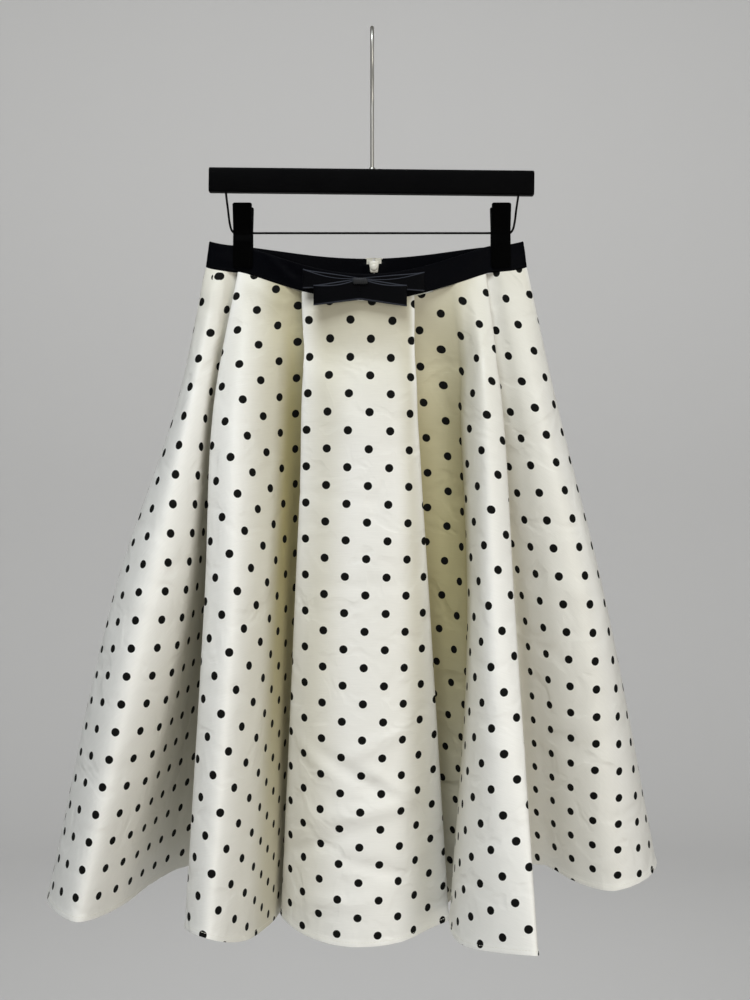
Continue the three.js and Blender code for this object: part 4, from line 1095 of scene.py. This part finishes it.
bar_half = (BAR["right"] - BAR["left"]) / 2
bar_middle = (BAR["right"] + BAR["left"]) / 2
end_turn = np.linspace(0, np.pi / 2, 6)
from_end = BAR["ease"] * (1 - np.cos(end_turn))
end_inset = BAR["ease"] * (1 - np.sin(end_turn))
straight = np.linspace(-bar_half + BAR["ease"], bar_half - BAR["ease"], 60)[1:-1]
bar_x = np.concatenate([-bar_half + from_end, straight, bar_half - from_end[::-1]])
inset = np.concatenate([end_inset, np.zeros(len(straight)), end_inset[::-1]])
section = rounded_section(BAR["depth"], BAR["height"], BAR["corner"])
bar_section = section * (1 - inset[:, None, None] / np.array([BAR["depth"] / 2, BAR["height"] / 2]))
along = bar_middle + bar_x[:, None]
below = bar_section[..., 1] - BAR["height"] / 2
tilt = np.radians(BAR["tilt"])
bar_grid = stacked(
    along * np.cos(tilt) + below * np.sin(tilt),
    bar_section[..., 0],
    BAR["top"] - along * np.sin(tilt) + below * np.cos(tilt),
)
bar = closed_strip("hanger_bar_lacquered", bar_grid[::-1] * MM, crease=40)
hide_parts("hanger_bar")


def wire_end(side):
    """One end of the wire under the bar, as points from its leg's top, which follows the bar's tilt, to
    the level rail."""
    leg_foot = RAIL_Z + 10
    under = BAR["top"] - BAR["height"] - SEAM_GAP
    places = [
        (LEG_TOP, under - side * np.tan(tilt) * LEG_TOP - 0.2), (LEG_TOP - 2, (under + leg_foot) / 2),
        (LEG_TOP - 4, leg_foot), (LEG_TOP - 6, RAIL_Z + 3), (RAIL_HALF, RAIL_Z), (RAIL_HALF - 3, RAIL_Z)]
    return [(side * out, 0, z) for out, z in places]


wire_points = [*wire_end(-1), (0, 0, RAIL_Z), *wire_end(1)[::-1]]
wire = tube("hanger_wire_coated", smooth_through(wire_points, 12), WIRE_RADIUS, (0, 1, 0), sides=14)
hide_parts("hanger_wire")

# %% Clips
CLIP_X, CLIP_WIDTH, CLIP_TOP, CLIP_BOTTOM = (-134, 133.5), 20, -181, -247
CLIP_SPREAD, CLIP_THICK, CORNER, JAW_NECK, JAW_EDGE = 12.5, 1.8, 2.2, 4, 0.25
SPRING = {"turns": 5, "wire": 0.55, "radius": 3.3, "half": 4.6}


def jaw(name, x, side, bulge):
    """A clip's jaw: a plate of even thickness that follows a bent outline in the YZ plane. Its half
    width shrinks near both ends as a quarter circle, which rounds its corners."""
    reach = CLIP_WIDTH / 2
    grip = max(waist_depth(x - reach, bulge), waist_depth(x + reach, bulge)) + SEAM_GAP
    neck = JAW_NECK + SEAM_GAP
    outline = np.array([
        (CLIP_SPREAD, CLIP_TOP), (neck + 0.15, RAIL_Z + 3.4), (neck, RAIL_Z + 2.4), (neck, RAIL_Z - 2.4),
        (neck + 0.1, RAIL_Z - 3.4), (grip, RAIL_Z - 9.8), (grip, RAIL_Z - 12), (grip, CLIP_BOTTOM)])
    line = smooth_through(outline, 6)
    dense = np.linspace(0, 1, 7) ** 1.5 * CORNER
    place = run_along(line)
    between = place[(place > CORNER) & (place < place[-1] - CORNER)]
    at = np.unique(np.concatenate([dense, between, place[-1] - dense]))
    line = read_along(at, place, line)
    from_end = np.minimum(at, at[-1] - at)
    near = np.clip(CORNER - from_end, 0, CORNER)
    half = reach - CORNER + np.sqrt(np.maximum(CORNER**2 - near**2, 0))
    across = np.linspace(-1, 1, 15)
    tangent = unit(np.gradient(line, axis=0))
    sheet = stacked(x - side * across * half[:, None], side * line[:, :1], line[:, 1:])
    push = stacked(0, -side * tangent[:, 1:], tangent[:, :1])
    edge = JAW_EDGE * (np.abs(across) ** 16)[:, None]
    outer = sheet + push * (CLIP_THICK - edge)
    inner = sheet + push * edge
    piece = wall(name, outer * MM, inner * MM, crease=60)
    return piece


def coil_spring(name, x):
    """A torsion spring round the rail: a helix whose advance and angle both grow evenly, with one leg
    up each jaw."""
    turns, half, radius = SPRING["turns"], SPRING["half"], SPRING["radius"]
    angle = np.linspace(0.15 * np.pi, (2 * turns + 0.85) * np.pi, 26 * turns)
    middle = stacked(
        x + np.linspace(-half, half, len(angle)), radius * np.cos(angle), RAIL_Z + radius * np.sin(angle))
    first = [(x - half, 5.5, RAIL_Z + 14), (x - half, 4.3, RAIL_Z + 7)]
    last = [(x + half, -4.3, RAIL_Z + 7), (x + half, -5.5, RAIL_Z + 14)]
    path = np.concatenate([first, middle, last])
    ahead = unit(np.gradient(path, axis=0))
    radial = (path - np.array([x, 0, RAIL_Z])) * [0, 1, 1]
    radial = unit(radial - ahead * (radial * ahead).sum(axis=-1, keepdims=True))
    side = np.cross(ahead, radial)
    turn = (np.arange(8) * np.pi / 4)[:, None]
    ring = radial[:, None] * np.cos(turn) + side[:, None] * np.sin(turn)
    grid = path[:, None] + SPRING["wire"] * ring
    piece = closed_strip(name, grid[:, ::-1] * MM)
    return piece


clips = []
for side_name, x in zip(("left", "right"), CLIP_X):
    for face, side, bulge in (("front", -1, FRONT_BULGE), ("back", 1, BACK_BULGE)):
        plate = jaw(f"clip_{side_name}_{face}_plate", x, side, bulge)
        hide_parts(f"clip_{side_name}_{face}_jaw")
        clips.append(plate)
    spring = coil_spring(f"clip_{side_name}_coil", x)
    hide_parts(f"clip_{side_name}_spring")
    clips.append(spring)
print("hanger pieces:", len([hook, ferrule, bar, wire, *clips]))

# %% [markdown]
# ## Finishes
#
# A finish is a small tree of shader nodes. A short helper adds a node and sets or links its inputs, and
# effects that several finishes share are built once as groups: the weave of the cloths, their small
# crumples, and the handling marks on the hanger.

# %% Node helpers
def put(tree, kind, inputs=None, **settings):
    """Adds a node to a tree. inputs gives each socket, by name or number, a value or another node's
    output to link to."""
    made = tree.nodes.new(kind)
    for key, value in settings.items():
        setattr(made, key, value)
    for key, value in (inputs or {}).items():
        if isinstance(value, bpy.types.NodeSocket):
            tree.links.new(value, made.inputs[key])
        else:
            made.inputs[key].default_value = value
    return made


def calc(tree, operation, *values, **settings):
    """The output of a Math node on the given values or sockets."""
    return put(tree, "ShaderNodeMath", dict(enumerate(values)), operation=operation, **settings).outputs[0]


def new_group(name, inputs, outputs):
    """A shader node group with named inputs {name: (kind, value)} and outputs {name: kind}. Returns the
    group, the sockets that come in, and the node that takes what goes out."""
    group = bpy.data.node_groups.new(name, "ShaderNodeTree")
    for label, (kind, value) in inputs.items():
        socket = group.interface.new_socket(name=label, in_out="INPUT", socket_type=kind)
        if value is not None:
            socket.default_value = value
    for label, kind in outputs.items():
        group.interface.new_socket(name=label, in_out="OUTPUT", socket_type=kind)
    entry = group.nodes.new("NodeGroupInput")
    leave = group.nodes.new("NodeGroupOutput")
    return group, entry.outputs, leave.inputs


def use(tree, group, inputs):
    """The outputs of a group placed in a tree with its own values."""
    return put(tree, "ShaderNodeGroup", inputs, node_tree=group).outputs


def blend(tree, share, first, second):
    """A colour between first, at share 0, and second, at share 1."""
    return put(tree, "ShaderNodeMix", {0: share, 6: first, 7: second}, data_type="RGBA").outputs[2]


def remap(tree, value, low, high, **limits):
    """A value that goes from 0 to 1, or between other limits, carried to the range from low to high."""
    inputs = {"Value": value, "To Min": low, "To Max": high}
    inputs.update({key.replace("_", " "): limit for key, limit in limits.items()})
    return put(tree, "ShaderNodeMapRange", inputs).outputs[0]


def finish(name, **sockets):
    """A new material with its Principled shader's plain sockets set. Returns material, tree, shader."""
    material = bpy.data.materials.new(name)
    material.use_nodes = True
    tree = material.node_tree
    shader = tree.nodes["Principled BSDF"]
    for key, value in sockets.items():
        shader.inputs[key.replace("_", " ")].default_value = value
    return material, tree, shader


# %% Shared groups
FLOAT, VECTOR = "NodeSocketFloat", "NodeSocketVector"

weave_group, weave_in, weave_out = new_group(
    "woven ribs",
    {"Place": (VECTOR, None), "Rib": (FLOAT, 0.0007), "Yarn": (FLOAT, 0.0003), "Slub": (FLOAT, 0.5)},
    {"Height": FLOAT, "Tone": FLOAT},
)
g = weave_group
split = put(g, "ShaderNodeSeparateXYZ", {0: weave_in["Place"]}).outputs
drift = put(g, "ShaderNodeTexNoise", {
    "Vector": weave_in["Place"], "Scale": 90.0, "Detail": 2.0}).outputs["Fac"]
rib_turn = calc(g, "MULTIPLY_ADD", calc(g, "DIVIDE", split["Y"], weave_in["Rib"]), 2 * np.pi,
                calc(g, "MULTIPLY", drift, 5.0))
yarn_turn = calc(g, "MULTIPLY", calc(g, "DIVIDE", split["X"], weave_in["Yarn"]), 2 * np.pi)
rib = calc(g, "MULTIPLY_ADD", calc(g, "SINE", rib_turn), 0.5, 0.5)
yarn = calc(g, "MULTIPLY_ADD", calc(g, "SINE", yarn_turn), 0.5, 0.5)
long_way = put(g, "ShaderNodeMapping", {
    "Vector": weave_in["Place"], "Scale": (60.0, 1400.0, 60.0)}).outputs[0]
slub = put(g, "ShaderNodeTexNoise", {"Vector": long_way, "Scale": 1.0, "Detail": 2.0}).outputs["Fac"]
height = calc(g, "MULTIPLY_ADD", rib, 0.6, calc(g, "MULTIPLY", yarn, 0.15))
height = calc(g, "MULTIPLY_ADD", calc(g, "MULTIPLY", slub, weave_in["Slub"]), 1.0, height)
g.links.new(height, weave_out["Height"])
g.links.new(slub, weave_out["Tone"])

crumple_group, crumple_in, crumple_out = new_group(
    "soft crumples",
    {"Place": (VECTOR, None), "Scale": (FLOAT, 18.0), "Sharpness": (FLOAT, 0.5)},
    {"Height": FLOAT},
)
g = crumple_group
noise = put(g, "ShaderNodeTexNoise", {
    "Vector": crumple_in["Place"], "Scale": crumple_in["Scale"], "Detail": 2.0, "Distortion": 0.6})
broad = noise.outputs["Fac"]
ridged = calc(g, "SUBTRACT", 1.0, calc(g, "ABSOLUTE", calc(g, "MULTIPLY_ADD", broad, 2.0, -1.0)))
sharp = calc(g, "POWER", ridged, 4.0)
g.links.new(calc(g, "MULTIPLY_ADD", sharp, crumple_in["Sharpness"], broad), crumple_out["Height"])

wear_group, wear_in, wear_out = new_group(
    "handling marks",
    {"Base": (FLOAT, 0.4), "Spread": (FLOAT, 0.15), "Scale": (FLOAT, 60.0)},
    {"Roughness": FLOAT, "Marks": FLOAT},
)
g = wear_group
place = put(g, "ShaderNodeTexCoord").outputs["Object"]
smudge = put(g, "ShaderNodeTexNoise", {
    "Vector": place, "Scale": wear_in["Scale"], "Detail": 5.0}).outputs["Fac"]
stretched = put(g, "ShaderNodeMapping", {"Vector": place, "Scale": (30.0, 400.0, 400.0)}).outputs[0]
scuff = put(g, "ShaderNodeTexNoise", {"Vector": stretched, "Scale": 2.0, "Detail": 3.0}).outputs["Fac"]
marks = calc(g, "MULTIPLY", smudge, scuff)
g.links.new(calc(g, "MULTIPLY_ADD", marks, wear_in["Spread"], wear_in["Base"]), wear_out["Roughness"])
g.links.new(marks, wear_out["Marks"])
print("shared groups:", [group.name for group in bpy.data.node_groups])

# %% [markdown]
# ## The dotted satin
#
# The print is a half-drop repeat: black dots on the corners and in the middle of each cell. Two
# distances to the nearest corner and the nearest middle, in metres on the flat cloth, give one round
# mask. The satin itself is a glossy weave with fine crosswise ribs, so the bump and the roughness come
# from the weave group, and ink dulls the gloss. Its colour goes from ivory to a dim warm colour by the
# painted shade that each point of the cloth carries, and its smooth top layer is a clear coat, weaker
# where the shade is painted.

# %% Satin with printed dots
DOT = {"across": 0.0430, "down": 0.0376, "radius": 0.0043, "ragged": 0.0004, "soft": 0.0003}
IVORY = (0.862, 0.85, 0.808, 1.0)
# The dim warm colour of the shade painted into the folds
PAINTED_SHADE_COLOUR = (0.42, 0.37, 0.185, 1.0)
INK = (0.0025, 0.0025, 0.002, 1.0)
PRINT_TURN = 0.6
PRINT_SHIFT = (-0.0047, 0.001, 0.0)


def dot_mask(tree, place):
    """1 inside a dot and 0 outside. The distance to a lattice point is the length of the wrapped
    offsets, the lattice is taken twice, half a cell apart, and the edge is ragged and a little soft."""
    split = put(tree, "ShaderNodeSeparateXYZ", {0: place}).outputs
    nearest = []
    for shift in (0.0, 0.5):
        offsets = []
        for axis, pitch in (("X", DOT["across"]), ("Y", DOT["down"])):
            cell = calc(tree, "MULTIPLY_ADD", split[axis], 1 / pitch, 0.5 + shift)
            inside = calc(tree, "SUBTRACT", calc(tree, "FRACT", cell), 0.5)
            offsets.append(calc(tree, "MULTIPLY", inside, pitch))
        squares = [calc(tree, "MULTIPLY", offset, offset) for offset in offsets]
        nearest.append(calc(tree, "SQRT", calc(tree, "ADD", *squares)))
    distance = calc(tree, "MINIMUM", *nearest)
    ragged = put(tree, "ShaderNodeTexNoise", {"Vector": place, "Scale": 900.0, "Detail": 1.0}).outputs["Fac"]
    distance = calc(tree, "MULTIPLY_ADD", ragged, DOT["ragged"], distance)
    inside = calc(tree, "SUBTRACT", DOT["radius"] + DOT["ragged"] / 2, distance)
    return calc(tree, "ADD", calc(tree, "DIVIDE", inside, DOT["soft"]), 0.5, use_clamp=True)


satin, tree, shader = finish("dotted satin", Specular_IOR_Level=0.15, Coat_IOR=1.8, Coat_Roughness=0.45)
cloth_place = put(tree, "ShaderNodeUVMap", uv_map="cloth").outputs[0]
print_place = put(tree, "ShaderNodeMapping", {
    "Vector": cloth_place, "Location": PRINT_SHIFT, "Rotation": (0, 0, np.radians(PRINT_TURN))}).outputs[0]
mask = dot_mask(tree, print_place)
woven = use(tree, weave_group, {"Place": cloth_place, "Rib": 0.0008, "Yarn": 0.0004, "Slub": 1.0})
rumpled = use(tree, crumple_group, {"Place": cloth_place, "Scale": 24.0, "Sharpness": 0.12})
# Painted shade: the point's attribute darkens the ivory towards a warm colour and weakens the coat
tone = put(tree, "ShaderNodeAttribute", attribute_name="painted_fold_shade").outputs["Fac"]
shaded_ivory = blend(tree, tone, IVORY, PAINTED_SHADE_COLOUR)
shade = remap(tree, woven["Tone"], 0.94, 1.04)
ground = put(tree, "ShaderNodeHueSaturation", {"Color": shaded_ivory, "Value": shade}).outputs[0]
gloss = remap(tree, woven["Height"], 0.4, 0.52)
fine = put(tree, "ShaderNodeBump", {"Strength": 0.4, "Distance": 0.0002, "Height": woven["Height"]})
soft = put(tree, "ShaderNodeBump", {
    "Strength": 0.75, "Distance": 0.0036, "Height": rumpled["Height"], "Normal": fine.outputs[0]})
coat = calc(tree, "MULTIPLY", calc(tree, "MULTIPLY_ADD", tone, -0.3, 0.5), calc(tree, "SUBTRACT", 1.0, mask))
tree.links.new(blend(tree, mask, ground, INK), shader.inputs["Base Color"])
tree.links.new(calc(tree, "MULTIPLY_ADD", mask, 0.3, gloss), shader.inputs["Roughness"])
tree.links.new(coat, shader.inputs["Coat Weight"])
tree.links.new(soft.outputs[0], shader.inputs["Normal"])

# %% [markdown]
# ## Black satin, ribbon and tape
#
# The band is a closer black satin with a faint navy sheen, and the ribbon has a lengthwise rib and a
# pale line painted along both bound edges, a painted highlight where the edges catch the light. The
# zip's tape is a dull cream weave. They share the weave group with other spacings.

# %% Other cloths
def woven_finish(name, colour, tone, rib, yarn, bump, rough, crumple=None, edge_highlight=None, **sockets):
    """A plain woven cloth: its colour goes from tone to colour with the yarn's unevenness, and its
    roughness and bump follow the ribs. crumple gives the scale and depth of soft crumples. A ribbon has
    a painted highlight: a pale line within a millimetre of both edges, where the edges catch the light."""
    material, tree, shader = finish(name, **sockets)
    place = put(tree, "ShaderNodeUVMap", uv_map="cloth").outputs[0]
    woven = use(tree, weave_group, {"Place": place, "Rib": rib, "Yarn": yarn, "Slub": 0.8})
    tinted = blend(tree, woven["Tone"], (*tone, 1), (*colour, 1))
    if edge_highlight:
        # Painted highlight: a pale line along both edges of the ribbon
        across = put(tree, "ShaderNodeSeparateXYZ", {0: place}).outputs["Y"]
        inwards = calc(tree, "MINIMUM", across, calc(tree, "SUBTRACT", RIBBON_WIDTH * MM, across))
        line = remap(tree, inwards, 1.0, 0.0, From_Min=0.0003, From_Max=0.001)
        tinted = blend(tree, line, tinted, (*edge_highlight, 1))
    tree.links.new(tinted, shader.inputs["Base Color"])
    tree.links.new(remap(tree, woven["Height"], *rough), shader.inputs["Roughness"])
    relief = put(tree, "ShaderNodeBump", {"Strength": 0.3, "Distance": bump, "Height": woven["Height"]})
    if crumple:
        size, depth = crumple
        height = use(tree, crumple_group, {"Place": place, "Scale": size, "Sharpness": 0.3})["Height"]
        relief = put(tree, "ShaderNodeBump", {
            "Strength": 0.5, "Distance": depth, "Height": height, "Normal": relief.outputs[0]})
    tree.links.new(relief.outputs[0], shader.inputs["Normal"])
    return material


band_satin = woven_finish(
    "black band satin", (0.0012, 0.0014, 0.0028), (0.0008, 0.0009, 0.0014), 0.0006, 0.0003, 0.0001,
    (0.4, 0.5), crumple=(30.0, 0.0012), Specular_IOR_Level=0.03)
ribbon_satin = woven_finish(
    "black ribbon", (0.0014, 0.0015, 0.0024), (0.0009, 0.001, 0.0014), 0.0007, 0.0004, 0.0001,
    (0.35, 0.5), edge_highlight=(0.035, 0.038, 0.048), Specular_IOR_Level=0.04)
knot_satin = woven_finish(
    "ribbed knot", (0.011, 0.012, 0.0145), (0.005, 0.0055, 0.007), 0.0007, 0.0004, 0.0001,
    (0.35, 0.5), Specular_IOR_Level=0.3)
tape_weave = woven_finish(
    "zip tape", (0.72, 0.70, 0.61), (0.58, 0.56, 0.48), 0.0009, 0.0006, 0.0002, (0.7, 0.9))
print("cloths:", [cloth.name for cloth in (satin, band_satin, ribbon_satin, knot_satin, tape_weave)])

# %% [markdown]
# ## Thread, enamel, lacquer, plastic and nickel
#
# The hard surfaces and the thread are plain, but handling leaves smudges and fine scuffs. One function
# gives each of them its colour, and lets the marks group shift the colour and the roughness a little.

# %% Plain finishes
def plain_finish(name, colour, marked, base, spread, scale, bump=0.0, **sockets):
    """A hard surface: its colour shifts to marked, and its roughness rises, along handling marks."""
    material, tree, shader = finish(name, **sockets)
    worn = use(tree, wear_group, {"Base": base, "Spread": spread, "Scale": scale})
    tree.links.new(blend(tree, worn["Marks"], (*colour, 1), (*marked, 1)), shader.inputs["Base Color"])
    tree.links.new(worn["Roughness"], shader.inputs["Roughness"])
    if bump:
        lift = put(tree, "ShaderNodeBump", {"Strength": 0.3, "Distance": bump, "Height": worn["Marks"]})
        tree.links.new(lift.outputs[0], shader.inputs["Normal"])
    return material


thread = plain_finish("ivory thread", (0.80, 0.78, 0.70), (0.7, 0.68, 0.6), 0.5, 0.2, 300.0)
enamel = plain_finish("cream zip enamel", (0.76, 0.73, 0.64), (0.66, 0.63, 0.55), 0.25, 0.3, 250.0)
lacquer = plain_finish("matt black lacquer", (0.001, 0.001, 0.0012), (0.0025, 0.0025, 0.0027), 0.4, 0.3, 40.0,
                       bump=0.0002, Specular_IOR_Level=0.03)
coating = plain_finish("black wire coating", (0.002, 0.002, 0.002), (0.005, 0.005, 0.0045), 0.35, 0.3, 120.0,
                       Specular_IOR_Level=0.08)
clip_black = plain_finish("black clip plastic", (0.0006, 0.0006, 0.0006), (0.0015, 0.0015, 0.0015), 0.4, 0.25,
                          90.0, Specular_IOR_Level=0.01)
nickel = plain_finish("satin nickel", (0.60, 0.59, 0.55), (0.45, 0.44, 0.41), 0.38, 0.2, 150.0, Metallic=1.0)

FINISHES = {
    satin: [piece for piece, _ in panels],
    thread: hem_stitches,
    band_satin: waistband,
    ribbon_satin: bow[:-1],
    knot_satin: bow[-1:],
    tape_weave: tapes,
    enamel: [*slider_pieces, pull_yoke, pull_drop, coil, frayed],
    lacquer: [bar],
    coating: [wire],
    clip_black: [piece for piece in clips if "plate" in piece.name],
    nickel: [hook, ferrule] + [piece for piece in clips if "coil" in piece.name],
}
for material, pieces in FINISHES.items():
    for piece in pieces:
        piece.data.materials.append(material)
    print(material.name, "on", len(pieces), "pieces")

# %% [markdown]
# ## Room, light and camera
#
# The skirt hangs in a plain pale room: a round floor that curves up into a wall, so no edge shows from
# any side. One large soft light stands high on the left in front, a weaker one on the right, and the
# walls send light back. The camera stands level with the middle of the skirt, straight in front.

# %% Room
ROOM = {"floor": -1.62, "flat": 3.4, "bend": 1.2, "walls": (1.0, 2.6)}
bend = np.linspace(0.1, np.pi / 2, 12)
wall_r = ROOM["flat"] + ROOM["bend"]
profile_r = np.concatenate([
    np.linspace(1e-5, ROOM["flat"], 12), ROOM["flat"] + ROOM["bend"] * np.sin(bend), [wall_r, wall_r]])
profile_z = np.concatenate([
    np.full(12, ROOM["floor"]), ROOM["floor"] + ROOM["bend"] * (1 - np.cos(bend)), ROOM["walls"]])
turn = np.linspace(0, 2 * np.pi, 64, endpoint=False)
bowl = stacked(np.outer(profile_r, np.cos(turn)), np.outer(profile_r, np.sin(turn)), profile_z[:, None])
room_mesh = bpy.data.meshes.new("room")
room_mesh.from_pydata(bowl.reshape(-1, 3).tolist(), [], grid_quads(len(profile_r), 64, wrap=True).tolist())
room_mesh.polygons.foreach_set("use_smooth", np.ones(len(room_mesh.polygons), dtype=bool))
room = bpy.data.objects.new("room", room_mesh)
bpy.context.scene.collection.objects.link(room)
room_paint, tree, shader = finish("pale room", Roughness=0.95)
shader.inputs["Base Color"].default_value = (0.5, 0.495, 0.49, 1)
room_mesh.materials.append(room_paint)

# %% Lights
def soft_light(name, place, aim, size, power, colour=(1, 1, 1)):
    """A square area light of that size in metres at a place, turned to face a point."""
    lamp = bpy.data.lights.new(name, "AREA")
    lamp.size, lamp.energy, lamp.color = size, power, colour
    holder = bpy.data.objects.new(name, lamp)
    holder.location = place
    holder.rotation_euler = (Vector(aim) - Vector(place)).to_track_quat("-Z", "Y").to_euler()
    bpy.context.scene.collection.objects.link(holder)
    print(name, power, "W at", place)


soft_light("key light", (-0.45, -2.6, 3.0), (0, 0, -0.62), 1.8, 152, (0.91, 0.96, 1.0))
soft_light("fill light", (1.5, -2.5, -0.9), (0, 0, -0.65), 2.2, 38, (1.0, 0.945, 0.84))
soft_light("wall light", (0, 1.3, 1.4), (0, 4.6, -0.4), 2.0, 68)
world = bpy.data.worlds.new("pale air")
bpy.context.scene.world = world
world.use_nodes = True
world.node_tree.nodes["Background"].inputs["Color"].default_value = (0.90, 0.83, 0.62, 1)
world.node_tree.nodes["Background"].inputs["Strength"].default_value = 0.084

# %% Camera
lens = bpy.data.cameras.new("camera")
lens.lens, lens.sensor_width, lens.sensor_fit = 54.0, 36.0, "AUTO"
camera = bpy.data.objects.new("camera", lens)
camera.location = (0.003, -1.560, -0.488)
camera.rotation_euler = (np.pi / 2, 0, 0)
bpy.context.scene.collection.objects.link(camera)
bpy.context.scene.camera = camera
bpy.context.scene.view_settings.view_transform = "Standard"
